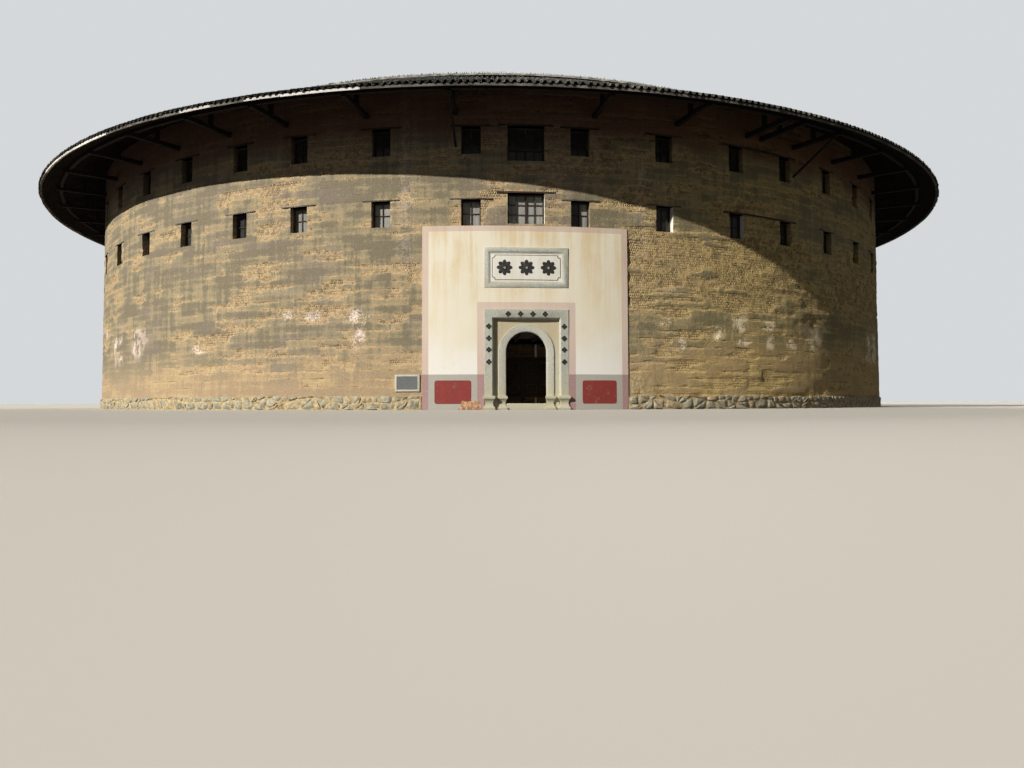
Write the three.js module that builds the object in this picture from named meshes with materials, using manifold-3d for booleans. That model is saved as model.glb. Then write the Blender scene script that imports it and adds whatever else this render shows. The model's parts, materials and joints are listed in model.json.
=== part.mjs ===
import * as THREE from 'three';
import Module from 'manifold-3d';
import { mergeVertices } from 'three/addons/utils/BufferGeometryUtils.js';

// A round earth house of four storeys with an open courtyard, modelled at half its real size.
// Sizes below are those of the real house in metres, and toMesh turns them into model millimetres.
// The axis of the house is Z, its base is at z = 0 and its gate faces -Y.
// Angles are degrees from the gate, positive towards +X, which is the right as one faces the gate.
const SCALE = 1 / 2;
const MILLIMETRES = 1000 * SCALE;
const JOINT = 0.0006;

// Rings are faceted, with an edge at the middle of the gate and every 5 degrees from there.
const FACETS = 72;
const POST_BAYS = 36;
const FAR = 60;
const HIGH = 30;

// Rammed-earth wall on a footing of river stones.
const wall = { baseRadius: 28.6, topRadius: 28.47, baseInner: 26.8, topInner: 27.5, height: 15 };
const footing = { radius: 28.7, inner: 26.75, height: 0.62 };
const wallSplits = [25, 75, 130, 155, 180];

// Two rows of windows: at the middle, at the places set out by hand near the gate, then evenly.
const windowRows = { third: [8.36, 9.57], fourth: [11.65, 12.91] };
const middleRows = { third: [8.45, 9.86], fourth: [11.34, 12.95] };
const windowWidth = 0.9;
const middleWidth = 1.7;
const windowAngles = [5.05, 13.45, 21.8, 28.75, 36.55, 44.5];
const evenWindows = 16;
const evenStep = (180 - windowAngles.at(-1)) / (evenWindows + 0.5);
for (let i = 0; i < evenWindows; i += 1) {
  windowAngles.push(windowAngles.at(-1) + evenStep);
}

// Ring roof with two slopes. Heights are of the tiles' top, and the slab is measured plumb.
const roof = { eave: 32.2, eaveTop: 13.52, ridge: 24.75, innerEave: 18.9, pitch: 0.451, slab: 0.28 };
const fascia = { back: 31.95, front: 32.08, foot: 13.3 };
const ridgeCap = { footWidth: 0.6, topWidth: 0.4, top: 17.05 };

// Eave brackets: one outboard of each window, a cantilever beam with a short post and a purlin.
const bracketOffset = 1.4;
const extraBracket = 25.2;
const bracket = { width: 0.2, low: 13.44, high: 13.66, reach: 31.2, root: 28.2 };
const bracketPost = { width: 0.18, radius: 29.7 };
const purlin = { inner: 30.9, outer: 31.08, foot: 13.6 };
const prop = { radius: 0.06, sides: 8, foot: 12, top: 13.5, footRadius: 28.45, topRadius: 31 };
const propAngles = { left: -6.45, right: 30.15 };

// Floors, and the gallery of posts and head beams round the courtyard.
const floorTops = [0.2, 4, 7.3, 10.6];
const floorSlab = 0.22;
const courtRadius = 21;
const gallery = { radius: 21.5, post: 0.22, beamWidth: 0.25, beamHeight: 0.28 };

// Gate: a plaster panel, a stone portal, an arch wall set back in it, and the passage behind.
const panel = { halfAngle: 9.5, proud: 0.06, height: 8.35 };
const passage = { halfWidth: 1.2, height: 3.75 };
const overDoorAngle = 3.2;
const portal = { halfWidth: 1.92, height: 4.55, front: -28.72, jamb: 0.42, lintel: 0.44 };
const archWall = { front: -28.47, back: -28.15 };
const arch = { halfWidth: 0.93, spring: 2.62, band: 0.33, front: -28.53, steps: 16 };
const pedestal = { height: 0.63, overhang: 0.06, front: -28.81, back: -28.6, innerFront: -28.59 };
const threshold = { height: 0.29, front: -28.5 };
const plaque = { halfWidth: 1.915, low: 5.53, high: 7.36, band: 0.27, front: -28.71, back: -28.57 };
const plaqueField = -28.63;
const plate = { angle: -10.85, width: 1.15, low: 0.83, high: 1.6, face: 28.66 };
const screen = { halfWidth: 1.45, front: -26.55, back: -26.41, post: 0.14, foot: 0.58, top: 2.5 };
const screenPanel = { front: -26.51, back: -26.45 };

const wasm = await Module();
wasm.setup();

const group = new THREE.Group();
const radians = THREE.MathUtils.degToRad;

const finishes = {
  earth: { color: 0xb39a6a, roughness: 0.95 },
  riverStone: { color: 0x8c8878, roughness: 0.9 },
  plaster: { color: 0xe9dcb8, roughness: 0.85 },
  granite: { color: 0xa3a797, roughness: 0.7 },
  whitePlaster: { color: 0xeceae2, roughness: 0.7 },
  slate: { color: 0x5f6668, roughness: 0.6 },
  timber: { color: 0x4a382a, roughness: 0.8 },
  boards: { color: 0x6a5138, roughness: 0.8 },
  tile: { color: 0x53514b, roughness: 0.85 },
};

function toSolid(geometry) {
  const bare = geometry.clone();
  bare.deleteAttribute('normal');
  bare.deleteAttribute('uv');
  const merged = mergeVertices(bare, 1e-5);
  return new wasm.Manifold(new wasm.Mesh({
    numProp: 3,
    vertProperties: new Float32Array(merged.attributes.position.array),
    triVerts: new Uint32Array(merged.index.array),
  }));
}

function toMesh(name, solid, finish) {
  const { vertProperties, triVerts } = solid.getMesh();
  const geometry = new THREE.BufferGeometry();
  geometry.setAttribute('position', new THREE.BufferAttribute(new Float32Array(vertProperties), 3));
  geometry.setIndex(new THREE.BufferAttribute(new Uint32Array(triVerts), 1));
  geometry.scale(MILLIMETRES, MILLIMETRES, MILLIMETRES);
  geometry.computeVertexNormals();
  const mesh = new THREE.Mesh(geometry, new THREE.MeshStandardMaterial({ metalness: 0, ...finish }));
  mesh.name = name;
  group.add(mesh);
}

function join(solids) {
  return solids.reduce((sum, solid) => sum.add(solid));
}

// A full ring whose section is a closed outline of [radius, height] points.
function ring(outline, facets = FACETS, turn = 0) {
  const points = [...outline, outline[0]].map(([radius, height]) => new THREE.Vector2(radius, height));
  const geometry = new THREE.LatheGeometry(points, facets);
  geometry.rotateX(Math.PI / 2);
  geometry.rotateZ(radians(turn));
  return toSolid(geometry);
}

// An upright slice of the circle between two angles, drawn in by half a joint at each side.
function slice(from, to, low = -1, high = HIGH) {
  const middle = radians((from + to) / 2);
  const half = radians((to - from) / 2);
  const tip = JOINT / 2 / Math.sin(half);
  const at = (angle, radius) => [radius * Math.sin(angle), -radius * Math.cos(angle)];
  const corners = [at(middle, tip)];
  for (const step of [-1, -0.5, 0, 0.5, 1]) {
    const [x, y] = at(middle + step * half, FAR);
    corners.push([x + corners[0][0], y + corners[0][1]]);
  }
  const outline = new THREE.Shape(corners.map(([x, y]) => new THREE.Vector2(x, y)));
  const geometry = new THREE.ExtrudeGeometry(outline, { depth: high - low, bevelEnabled: false });
  geometry.translate(0, 0, low);
  return toSolid(geometry);
}

function block([x0, x1], [y0, y1], [z0, z1]) {
  const geometry = new THREE.BoxGeometry(x1 - x0, y1 - y0, z1 - z0);
  geometry.translate((x0 + x1) / 2, (y0 + y1) / 2, (z0 + z1) / 2);
  return toSolid(geometry);
}

// A block that faces outwards at an angle, from an inner to an outer radius.
function radialBlock(angle, width, [inner, outer], [low, high]) {
  const geometry = new THREE.BoxGeometry(width, outer - inner, high - low);
  geometry.translate(0, -(inner + outer) / 2, (low + high) / 2);
  geometry.rotateZ(radians(angle));
  return toSolid(geometry);
}

// An outline of [x, height] points carried back from a front plane to a rear plane.
function upright(outline, front, back, hole) {
  const shape = new THREE.Shape(outline.map(([x, z]) => new THREE.Vector2(x, z)));
  if (hole) {
    shape.holes.push(new THREE.Path(hole.map(([x, z]) => new THREE.Vector2(x, z))));
  }
  const geometry = new THREE.ExtrudeGeometry(shape, { depth: back - front, bevelEnabled: false });
  geometry.rotateX(Math.PI / 2);
  geometry.translate(0, back, 0);
  return toSolid(geometry);
}

function rectangle(halfWidth, low, high) {
  return [[-halfWidth, low], [halfWidth, low], [halfWidth, high], [-halfWidth, high]];
}

// Half-round arch over straight sides, from the left foot over the top to the right foot.
function archOutline(halfWidth, foot) {
  const points = [[-halfWidth, foot]];
  for (let i = 0; i <= arch.steps; i += 1) {
    const turn = Math.PI * (1 - i / arch.steps);
    points.push([halfWidth * Math.cos(turn), arch.spring + halfWidth * Math.sin(turn)]);
  }
  points.push([halfWidth, foot]);
  return points;
}

function wallOuter(height) {
  return THREE.MathUtils.lerp(wall.baseRadius, wall.topRadius, height / wall.height);
}

function wallInner(height) {
  return THREE.MathUtils.lerp(wall.baseInner, wall.topInner, height / wall.height);
}

function tileTop(radius) {
  return roof.eaveTop + (roof.eave - roof.ridge - Math.abs(radius - roof.ridge)) * roof.pitch;
}

function roofUnder(radius) {
  return tileTop(radius) - roof.slab;
}

// Lowest the faceted underside comes at a true distance from the axis: at the middle of a facet.
function roofUnderFlat(radius) {
  return roofUnder(radius / Math.cos(Math.PI / FACETS));
}

// Corner where a wall face, whose radius changes with height, meets the roof's underside.
function wallTopCorner(faceRadius) {
  let height = wall.height;
  for (let i = 0; i < 8; i += 1) {
    height = roofUnder(faceRadius(height)) - JOINT;
  }
  return [faceRadius(height), height];
}

// Space taken by the wall, wider by a joint.
const wallSpace = ring([
  [wallInner(0) - JOINT, 0],
  [wallOuter(0) + JOINT, 0],
  [wallOuter(wall.height) + JOINT, wall.height],
  [wallInner(wall.height) - JOINT, wall.height],
]);

function windowHoles() {
  const holes = [];
  for (const row of ['third', 'fourth']) {
    holes.push(radialBlock(0, middleWidth, [25, 30], middleRows[row]));
    for (const angle of windowAngles) {
      holes.push(radialBlock(angle, windowWidth, [25, 30], windowRows[row]));
      holes.push(radialBlock(-angle, windowWidth, [25, 30], windowRows[row]));
    }
  }
  return join(holes);
}

const gateRecess = block(
  [-portal.halfWidth - JOINT, portal.halfWidth + JOINT],
  [-30, archWall.back + JOINT],
  [-1, portal.height + JOINT],
);
const passageSpace = block([-passage.halfWidth, passage.halfWidth], [-30, -25], [-1, passage.height]);

function addWall() {
  const foot = footing.height + JOINT;
  const body = ring([
    [wallInner(foot), foot],
    [wallOuter(foot), foot],
    wallTopCorner(wallOuter),
    wallTopCorner(wallInner),
  ]).subtract(windowHoles()).subtract(gateRecess).subtract(passageSpace);
  const [front, side, back, rear, end] = wallSplits;
  const overDoor = slice(-overDoorAngle, overDoorAngle, passage.height);
  const overDoorSpace = slice(-overDoorAngle - 0.001, overDoorAngle + 0.001, passage.height - JOINT);
  toMesh('wall_over_door', body.intersect(overDoor), finishes.earth);
  const beside = body.subtract(overDoorSpace);
  toMesh('wall_front_left', beside.intersect(slice(-front, 0)), finishes.earth);
  toMesh('wall_front_right', beside.intersect(slice(0, front)), finishes.earth);
  const stretches = {
    side_front: [front, side],
    side_back: [side, back],
    back_side: [back, rear],
    back: [rear, end],
  };
  for (const [name, [from, to]] of Object.entries(stretches)) {
    toMesh(`wall_left_${name}`, body.intersect(slice(-to, -from)), finishes.earth);
    toMesh(`wall_right_${name}`, body.intersect(slice(from, to)), finishes.earth);
  }
}

const quarters = {
  front_left: [-90, 0],
  front_right: [0, 90],
  back_right: [90, 180],
  back_left: [180, 270],
};

function addFooting() {
  const panelSpace = ring([
    [wallOuter(-1), -1],
    [FAR, -1],
    [FAR, 1],
    [wallOuter(1), 1],
  ]).intersect(slice(-panel.halfAngle - 0.001, panel.halfAngle + 0.001));
  const body = ring([
    [footing.inner, 0],
    [footing.radius, 0],
    [footing.radius, footing.height],
    [footing.inner, footing.height],
  ]).subtract(panelSpace).subtract(gateRecess).subtract(passageSpace);
  for (const [name, [from, to]] of Object.entries(quarters)) {
    toMesh(`footing_${name}`, body.intersect(slice(from, to)), finishes.riverStone);
  }
}

function addPanel() {
  const plaqueSpace = block(
    [-plaque.halfWidth - JOINT, plaque.halfWidth + JOINT],
    [-30, -25],
    [plaque.low - JOINT, plaque.high + JOINT],
  );
  const top = panel.height;
  const body = ring([
    [wallOuter(0) + JOINT, 0],
    [wallOuter(0) + panel.proud, 0],
    [wallOuter(top) + panel.proud, top],
    [wallOuter(top) + JOINT, top],
  ]).intersect(slice(-panel.halfAngle, panel.halfAngle));
  toMesh('plaster_panel', body.subtract(gateRecess).subtract(plaqueSpace), finishes.plaster);
}

function addPortal() {
  const { halfWidth, height, front, jamb, lintel } = portal;
  const back = archWall.front - JOINT;
  const under = height - lintel;
  for (const [name, side] of [['left', -1], ['right', 1]]) {
    const across = (from, to) => [side * from, side * to].sort((a, b) => a - b);
    const shaft = block(across(halfWidth - jamb, halfWidth), [front, back], [0, under - JOINT]);
    const foot = block(
      across(halfWidth - jamb - pedestal.overhang, halfWidth + pedestal.overhang),
      [pedestal.front, pedestal.back],
      [0, pedestal.height],
    );
    toMesh(`portal_jamb_${name}`, shaft.add(foot), finishes.granite);
  }
  toMesh('portal_lintel', block([-halfWidth, halfWidth], [front, back], [under, height]), finishes.granite);

  const opening = upright(archOutline(arch.halfWidth, -1), archWall.front - 1, archWall.back + 1);
  const wallPlate = upright(rectangle(halfWidth, 0, height), archWall.front, archWall.back);
  toMesh('portal_arch_wall', wallPlate.subtract(opening), finishes.granite);

  const bandOutline = archOutline(arch.halfWidth + arch.band, 0);
  const band = upright(bandOutline, arch.front, back);
  const feet = [-1, 1].map((side) => {
    const inner = arch.halfWidth - pedestal.overhang;
    const outer = arch.halfWidth + arch.band + pedestal.overhang;
    const across = [side * inner, side * outer].sort((a, b) => a - b);
    return block(across, [pedestal.innerFront, back], [0, pedestal.height]);
  });
  const clearOpening = upright(archOutline(arch.halfWidth, pedestal.height - JOINT), -30, -27);
  const lowOpening = block(
    [-arch.halfWidth + pedestal.overhang, arch.halfWidth - pedestal.overhang],
    [-30, -27],
    [-1, pedestal.height],
  );
  const surround = join([band, ...feet]).subtract(clearOpening).subtract(lowOpening);
  toMesh('portal_archivolt', surround, finishes.granite);

  const sill = block(
    [-arch.halfWidth + JOINT, arch.halfWidth - JOINT],
    [archWall.front, archWall.back],
    [0, threshold.height],
  );
  const nose = block(
    [-arch.halfWidth + pedestal.overhang + JOINT, arch.halfWidth - pedestal.overhang - JOINT],
    [threshold.front, archWall.front + 0.05],
    [0, threshold.height],
  );
  toMesh('threshold', sill.add(nose), finishes.granite);
}

function addPlaque() {
  const { halfWidth, low, high, band, front, back } = plaque;
  const inside = rectangle(halfWidth - band, low + band, high - band);
  toMesh('plaque_frame', upright(rectangle(halfWidth, low, high), front, back, inside), finishes.granite);
  const field = rectangle(halfWidth - band - JOINT, low + band + JOINT, high - band - JOINT);
  toMesh('plaque_field', upright(field, plaqueField, back), finishes.whitePlaster);
  const sheet = radialBlock(plate.angle, plate.width, [wall.topRadius, plate.face], [plate.low, plate.high]);
  const panelEdge = slice(-panel.halfAngle - 0.002, 0);
  toMesh('wall_plate', sheet.subtract(panelEdge).subtract(wallSpace), finishes.slate);
}

function addScreen() {
  const { halfWidth, front, back, post, foot, top } = screen;
  const base = floorTops[0] + JOINT;
  const posts = [-halfWidth, -post / 2, halfWidth - post].map(
    (x) => block([x, x + post], [front, back], [base, top]),
  );
  const rails = [foot, top - post].map(
    (z) => block([-halfWidth, halfWidth], [front, back], [z, z + post]),
  );
  const boards = block([-halfWidth + post / 2, halfWidth - post / 2],
    [screenPanel.front, screenPanel.back], [foot + post / 2, top - post / 2]);
  toMesh('gate_screen', join([...posts, ...rails, boards]), finishes.timber);
}

function addFloors() {
  const ground = ring([
    [courtRadius, 0],
    [footing.inner - JOINT, 0],
    [footing.inner - JOINT, floorTops[0]],
    [courtRadius, floorTops[0]],
  ]);
  const inPassage = block(
    [-passage.halfWidth + JOINT, passage.halfWidth - JOINT],
    [archWall.back + JOINT, -courtRadius - 1],
    [0, floorTops[0]],
  );
  toMesh('floor_ground', ground.add(inPassage), finishes.boards);
  for (const [storey, top] of floorTops.entries()) {
    if (storey > 0) {
      const low = top - floorSlab;
      toMesh(`floor_${storey + 1}`, ring([
        [courtRadius, low],
        [wallInner(low) - JOINT, low],
        [wallInner(top) - JOINT, top],
        [courtRadius, top],
      ]), finishes.boards);
    }
  }
}

// Each storey's posts stand on its floor and carry a head beam straight from post to post.
function addGallery() {
  const { radius, post, beamWidth, beamHeight } = gallery;
  const bay = 360 / POST_BAYS;
  const inner = radius - beamWidth / 2;
  const underSlope = roofUnder(inner * Math.cos(radians(bay / 2))) - JOINT;
  for (const [storey, floorTop] of floorTops.entries()) {
    const next = floorTops[storey + 1];
    const top = next === undefined ? underSlope : next - floorSlab - JOINT;
    const solids = [ring([
      [inner, top - beamHeight],
      [radius + beamWidth / 2, top - beamHeight],
      [radius + beamWidth / 2, top],
      [inner, top],
    ], POST_BAYS, bay / 2)];
    for (let i = 0; i < POST_BAYS; i += 1) {
      const face = [radius - post / 2, radius + post / 2];
      solids.push(radialBlock((i + 0.5) * bay, post, face, [floorTop + JOINT, top - beamHeight / 2]));
    }
    toMesh(`gallery_${storey + 1}`, join(solids), finishes.timber);
  }
}

function addEaves() {
  const beam = ring([
    [purlin.inner, purlin.foot],
    [purlin.outer, purlin.foot],
    [purlin.outer, roofUnder(purlin.outer) - JOINT],
    [purlin.inner, roofUnder(purlin.inner) - JOINT],
  ]);
  const angles = windowAngles.flatMap((angle) => [-angle - bracketOffset, angle + bracketOffset]);
  angles.push(extraBracket);
  const { width, radius } = bracketPost;
  const postFaces = [radius - width / 2, radius + width / 2];
  const postTop = roofUnderFlat(postFaces[1] + 0.001) - JOINT;
  const timbers = angles.flatMap((angle) => [
    radialBlock(angle, bracket.width, [bracket.root, bracket.reach], [bracket.low, bracket.high]),
    radialBlock(angle, width, postFaces, [bracket.high - 0.02, postTop]),
  ]);
  const frame = join([beam, ...timbers]).subtract(wallSpace);
  for (const [name, [from, to]] of Object.entries(quarters)) {
    toMesh(`eave_brackets_${name}`, frame.intersect(slice(from, to)), finishes.timber);
  }
  const aboveBeams = ring([
    [20, bracket.low - JOINT],
    [FAR, bracket.low - JOINT],
    [FAR, HIGH],
    [20, HIGH],
  ]);
  for (const [name, angle] of Object.entries(propAngles)) {
    const run = prop.topRadius - prop.footRadius;
    const rise = prop.top - prop.foot;
    const length = Math.hypot(run, rise);
    const geometry = new THREE.CylinderGeometry(prop.radius, prop.radius, 1.2 * length, prop.sides);
    geometry.rotateX(Math.atan2(-rise, run));
    geometry.translate(0, -(prop.footRadius + prop.topRadius) / 2, (prop.foot + prop.top) / 2);
    geometry.rotateZ(radians(angle));
    const pole = toSolid(geometry).subtract(wallSpace).subtract(aboveBeams);
    toMesh(`eave_prop_${name}`, pole, finishes.timber);
  }
}

function addRoof() {
  const { eave, ridge, innerEave } = roof;
  const outer = ring([
    [ridge + JOINT / 2, roofUnder(ridge)],
    [fascia.back, roofUnder(fascia.back)],
    [fascia.back, fascia.foot],
    [fascia.front, fascia.foot],
    [eave, tileTop(eave)],
    [ridge + JOINT / 2, tileTop(ridge)],
  ]);
  for (const [name, [from, to]] of Object.entries(quarters)) {
    toMesh(`roof_outer_${name}`, outer.intersect(slice(from, to)), finishes.tile);
  }
  const inner = ring([
    [innerEave, roofUnder(innerEave)],
    [ridge - JOINT / 2, roofUnder(ridge)],
    [ridge - JOINT / 2, tileTop(ridge)],
    [innerEave, tileTop(innerEave)],
  ]);
  for (const [name, [from, to]] of Object.entries(quarters)) {
    toMesh(`roof_inner_${name}`, inner.intersect(slice(from, to)), finishes.tile);
  }
  const foot = ridgeCap.footWidth / 2;
  const crown = ridgeCap.topWidth / 2;
  toMesh('roof_ridge', ring([
    [ridge - foot, tileTop(ridge - foot) + JOINT],
    [ridge, tileTop(ridge) + JOINT],
    [ridge + foot, tileTop(ridge + foot) + JOINT],
    [ridge + crown, ridgeCap.top],
    [ridge - crown, ridgeCap.top],
  ]), finishes.tile);
}

addWall();
addFooting();
addPanel();
addPortal();
addPlaque();
addScreen();
addFloors();
addGallery();
addEaves();
addRoof();

export default group;
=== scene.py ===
"""Looks of a tulou roundhouse: rammed-earth ring wall, plastered gate, tiled ring roof and timber galleries.

Sizes are those of the real house in metres, and publish() alone turns them into the 1:2 model's metres.
The axis of the house is Z and its base is at z = 0. Angles are degrees from the gate, which faces -Y,
and grow towards +X, the right as one faces the gate. A piece that belongs to the gate, or that is
repeated round the house, is built at the gate: x runs to the right, y into the house and z up.
"""

import json
import logging
import math
from collections.abc import Callable, Sequence
from dataclasses import dataclass, field
from enum import Enum

import bpy
import numpy as np
from mathutils import Matrix

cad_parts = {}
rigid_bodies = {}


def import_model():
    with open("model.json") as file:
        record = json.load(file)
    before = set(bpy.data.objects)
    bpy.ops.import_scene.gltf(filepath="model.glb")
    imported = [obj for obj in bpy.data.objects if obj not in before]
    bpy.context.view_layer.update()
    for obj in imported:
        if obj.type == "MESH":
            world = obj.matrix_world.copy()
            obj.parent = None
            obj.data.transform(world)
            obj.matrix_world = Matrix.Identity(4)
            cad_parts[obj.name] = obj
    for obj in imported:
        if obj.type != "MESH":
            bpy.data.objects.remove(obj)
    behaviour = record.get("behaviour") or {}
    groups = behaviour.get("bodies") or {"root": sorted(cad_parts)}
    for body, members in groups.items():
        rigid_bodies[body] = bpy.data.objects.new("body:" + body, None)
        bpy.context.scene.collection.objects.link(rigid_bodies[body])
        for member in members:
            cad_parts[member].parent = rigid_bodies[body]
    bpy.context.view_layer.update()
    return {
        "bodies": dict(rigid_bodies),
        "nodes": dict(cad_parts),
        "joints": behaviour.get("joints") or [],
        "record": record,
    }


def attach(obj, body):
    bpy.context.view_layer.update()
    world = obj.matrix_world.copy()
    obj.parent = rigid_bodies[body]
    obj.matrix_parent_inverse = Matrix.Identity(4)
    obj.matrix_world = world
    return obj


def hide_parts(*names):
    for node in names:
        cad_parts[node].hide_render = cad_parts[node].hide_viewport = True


Array = np.ndarray
Pair = tuple[float, float]
Triple = tuple[float, float, float]
Socket = bpy.types.NodeSocket
log = logging.getLogger("roundhouse")

MODEL = 0.5  # metres of the model for a metre of the real house
WALL_RADIUS = 28.6
PLASTER_RADIUS = 28.65
INNER_FACE, OPENING_SIDE = 27, 28  # radii at which these faces are unrolled
WELD = 2e-4  # points nearer than this become one
EDGE_LIMIT = 1e-9  # stands for 0 in a division
SLACK = 1e-6  # for rounding, where two lengths are compared
COPY_SHIFT, BAR_SHIFT = 40, 30  # metres of pattern over which copies and timbers are spread


@dataclass
class Patch:
    """A piece of surface as whole arrays.

    Args:
        points: (n, 3) places in real metres.
        corners: (c,) point numbers, face after face.
        sizes: (f,) corners of each face.
        uv: (c, 2) place on the unrolled surface in real metres.
        finish: (f,) number of the face's finish.
        tone: (n,) value from 0 to 1 that tells one stone, tile or board from the next.
        wear: (n,) value from 0 to 1 of how worn the surface is.
    """

    points: Array
    corners: Array
    sizes: Array
    uv: Array
    finish: Array
    tone: Array
    wear: Array


def merge(*patches: Patch) -> Patch:
    """Puts patches one after another, with point numbers shifted past those before."""
    shifts = np.cumsum([0] + [len(p.points) for p in patches[:-1]])
    return Patch(
        np.concatenate([p.points for p in patches]),
        np.concatenate([p.corners + shift for p, shift in zip(patches, shifts)]),
        *(np.concatenate([getattr(p, name) for p in patches]) for name in ("sizes", "uv", "finish", "tone", "wear")),
    )


def grid(
    points: Array,
    uv: Array,
    finish: Array | int = 0,
    tone: Array | float = 0.5,
    wear: Array | float = 0.0,
    keep: Array | None = None,
) -> Patch:
    """Joins a grid of points with quads that face the viewer who sees columns run right and rows run up.

    Args:
        points: (rows, columns, 3) places.
        uv: (rows, columns, 2) unrolled places.
        finish: Finish number, one or (rows - 1, columns - 1).
        tone: Tone, one or (rows, columns).
        wear: Wear, one or (rows, columns).
        keep: (rows - 1, columns - 1) mask of the cells to fill, or None for all.

    Returns:
        The patch.
    """
    rows, columns = points.shape[:2]
    number = np.arange(rows * columns).reshape(rows, columns)
    quads = places(number[:-1, :-1], number[:-1, 1:], number[1:, 1:], number[1:, :-1])
    chosen = np.ones((rows - 1, columns - 1), bool) if keep is None else keep
    corners = quads[chosen].ravel()
    tone, wear = (np.broadcast_to(mark, (rows, columns)).ravel().astype(float) for mark in (tone, wear))
    return Patch(
        points.reshape(-1, 3), corners, np.full(len(corners) // 4, 4), uv.reshape(-1, 2)[corners],
        np.broadcast_to(finish, chosen.shape)[chosen], tone, wear,
    )


def cap(points: Array, uv: Array, finish: int = 0, tone: float = 0.5, wear: float = 0.0) -> Patch:
    """One many-sided face whose points run anticlockwise as seen from outside."""
    count = len(points)
    marks = np.full(count, tone), np.full(count, wear)
    return Patch(points, np.arange(count), np.array([count]), uv, np.array([finish]), *marks)


def places(*axes: Array | float) -> Array:
    """Coordinates, spread to one another's shape, as points along a last axis."""
    return np.stack(np.broadcast_arrays(*axes), axis=-1)


def walked(path: Array) -> Array:
    """Length of a path from its start to each of its points."""
    return np.concatenate([[0], np.cumsum(np.hypot(*np.diff(path, axis=0).T))])


def polar(angle: Array | float, radius: Array | float, height: Array | float) -> Array:
    """Places at x = radius sin(angle), y = -radius cos(angle), z = height, with angles in degrees."""
    turn = np.radians(angle)
    return places(radius * np.sin(turn), -radius * np.cos(turn), height)


def turned(patch: Patch, angles: Array, tones: Array | None = None, seed: int = 1) -> Patch:
    """Copies a patch that stands at the gate to other angles round the house.

    Args:
        patch: The patch at the gate.
        angles: (k,) degrees.
        tones: (k,) tone of each copy, or None to keep the patch's own.
        seed: Seed of the shift that gives each copy its own stretch of pattern.

    Returns:
        All the copies as one patch.
    """
    turn = np.radians(np.asarray(angles, float))[:, None]
    x, y, z = patch.points.T
    count = len(turn)
    shift = np.random.default_rng(seed).random((count, 1, 2)) * COPY_SHIFT
    return Patch(
        places(np.cos(turn) * x - np.sin(turn) * y, np.sin(turn) * x + np.cos(turn) * y, z).reshape(-1, 3),
        (patch.corners + np.arange(count)[:, None] * len(x)).ravel(),
        np.tile(patch.sizes, count),
        (patch.uv + shift).reshape(-1, 2),
        np.tile(patch.finish, count),
        np.tile(patch.tone, count) if tones is None else np.repeat(tones, len(x)),
        np.tile(patch.wear, count),
    )


def bars(
    start: Array,
    end: Array,
    across: Array | Triple,
    width: Array | float,
    depth: Array | float,
    chamfer: float = 0.01,
    seed: int = 2,
) -> Patch:
    """Straight timbers: a rectangle with its edges cut off is carried from each start to its end.

    Args:
        start: (n, 3) middle of the first end.
        end: (n, 3) middle of the last end.
        across: (3,) or (n, 3) direction of the width.
        width: Size along across.
        depth: Size square to it.
        chamfer: How much is cut off each edge.
        seed: Seed of each timber's tone and of its pattern's shift.

    Returns:
        All the timbers as one patch, with u along each of them.
    """
    count = len(start)
    rng = np.random.default_rng(seed)
    along = end - start
    length = np.linalg.norm(along, axis=1, keepdims=True)
    along = along / length
    side = np.broadcast_to(across, (count, 3)).astype(float)
    side = side - along * (side * along).sum(1, keepdims=True)
    side = side / np.linalg.norm(side, axis=1, keepdims=True)
    w, d = (np.broadcast_to(size, count)[:, None] / 2 for size in (width, depth))
    cut = np.minimum(chamfer, np.minimum(w, d) * 0.45)
    if chamfer > 0:
        p = np.concatenate([w, w, w - cut, cut - w, -w, -w, cut - w, w - cut], axis=1)
        q = np.concatenate([cut - d, d - cut, d, d, d - cut, cut - d, -d, -d], axis=1)
    else:
        p, q = np.concatenate([w, w, -w, -w], axis=1), np.concatenate([-d, d, d, -d], axis=1)
    sides = p.shape[1]
    section = p[..., None] * side[:, None] + q[..., None] * np.cross(along, side)[:, None]
    first = np.arange(sides)
    after = (first + 1) % sides
    quads = places(first, after, after + sides, first + sides)
    edge = np.hypot(p - np.roll(p, -1, axis=1), q - np.roll(q, -1, axis=1))
    girth = np.cumsum(edge, axis=1)
    flat = places(places(0, 0, length, length), places(girth - edge, girth, girth, girth - edge))
    ends = places(p, q)
    uv = np.concatenate([flat.reshape(count, -1, 2), ends[:, ::-1], ends], axis=1)
    uv = uv + rng.random((count, 1, 2)) * BAR_SHIFT
    corners = np.concatenate([quads.ravel(), first[::-1], first + sides]) + np.arange(count)[:, None] * 2 * sides
    return Patch(
        np.stack([start[:, None] + section, end[:, None] + section], axis=1).reshape(-1, 3),
        corners.ravel(),
        np.tile(np.array([4] * sides + [sides, sides]), count),
        uv.reshape(-1, 2),
        np.zeros(count * (sides + 2), int),
        np.repeat(rng.random(count), 2 * sides),
        np.zeros(count * 2 * sides),
    )


def swept(
    points: Array, along: Array, profile: Array, finish: int = 0, tone: float = 0.5, closed: bool = False
) -> Patch:
    """Joins copies of a closed section that stand one after another.

    Args:
        points: (k + 1, n, 3) places, where the section's first point stands again at its end.
        along: (n,) length of the way to each copy.
        profile: (k, 2) the section.
        finish: Finish number.
        tone: Tone of the whole.
        closed: True where the way ends at its start, so that no end needs a cap.

    Returns:
        The patch, with u along the way.
    """
    body = grid(points, places(along, walked(np.concatenate([profile, profile[:1]]))[:, None]), finish, tone)
    if closed:
        return body
    ends = (points[:-1, 0], profile), (points[:-1, -1][::-1], profile[::-1])
    return merge(body, *(cap(*end, finish, tone) for end in ends))


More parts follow.
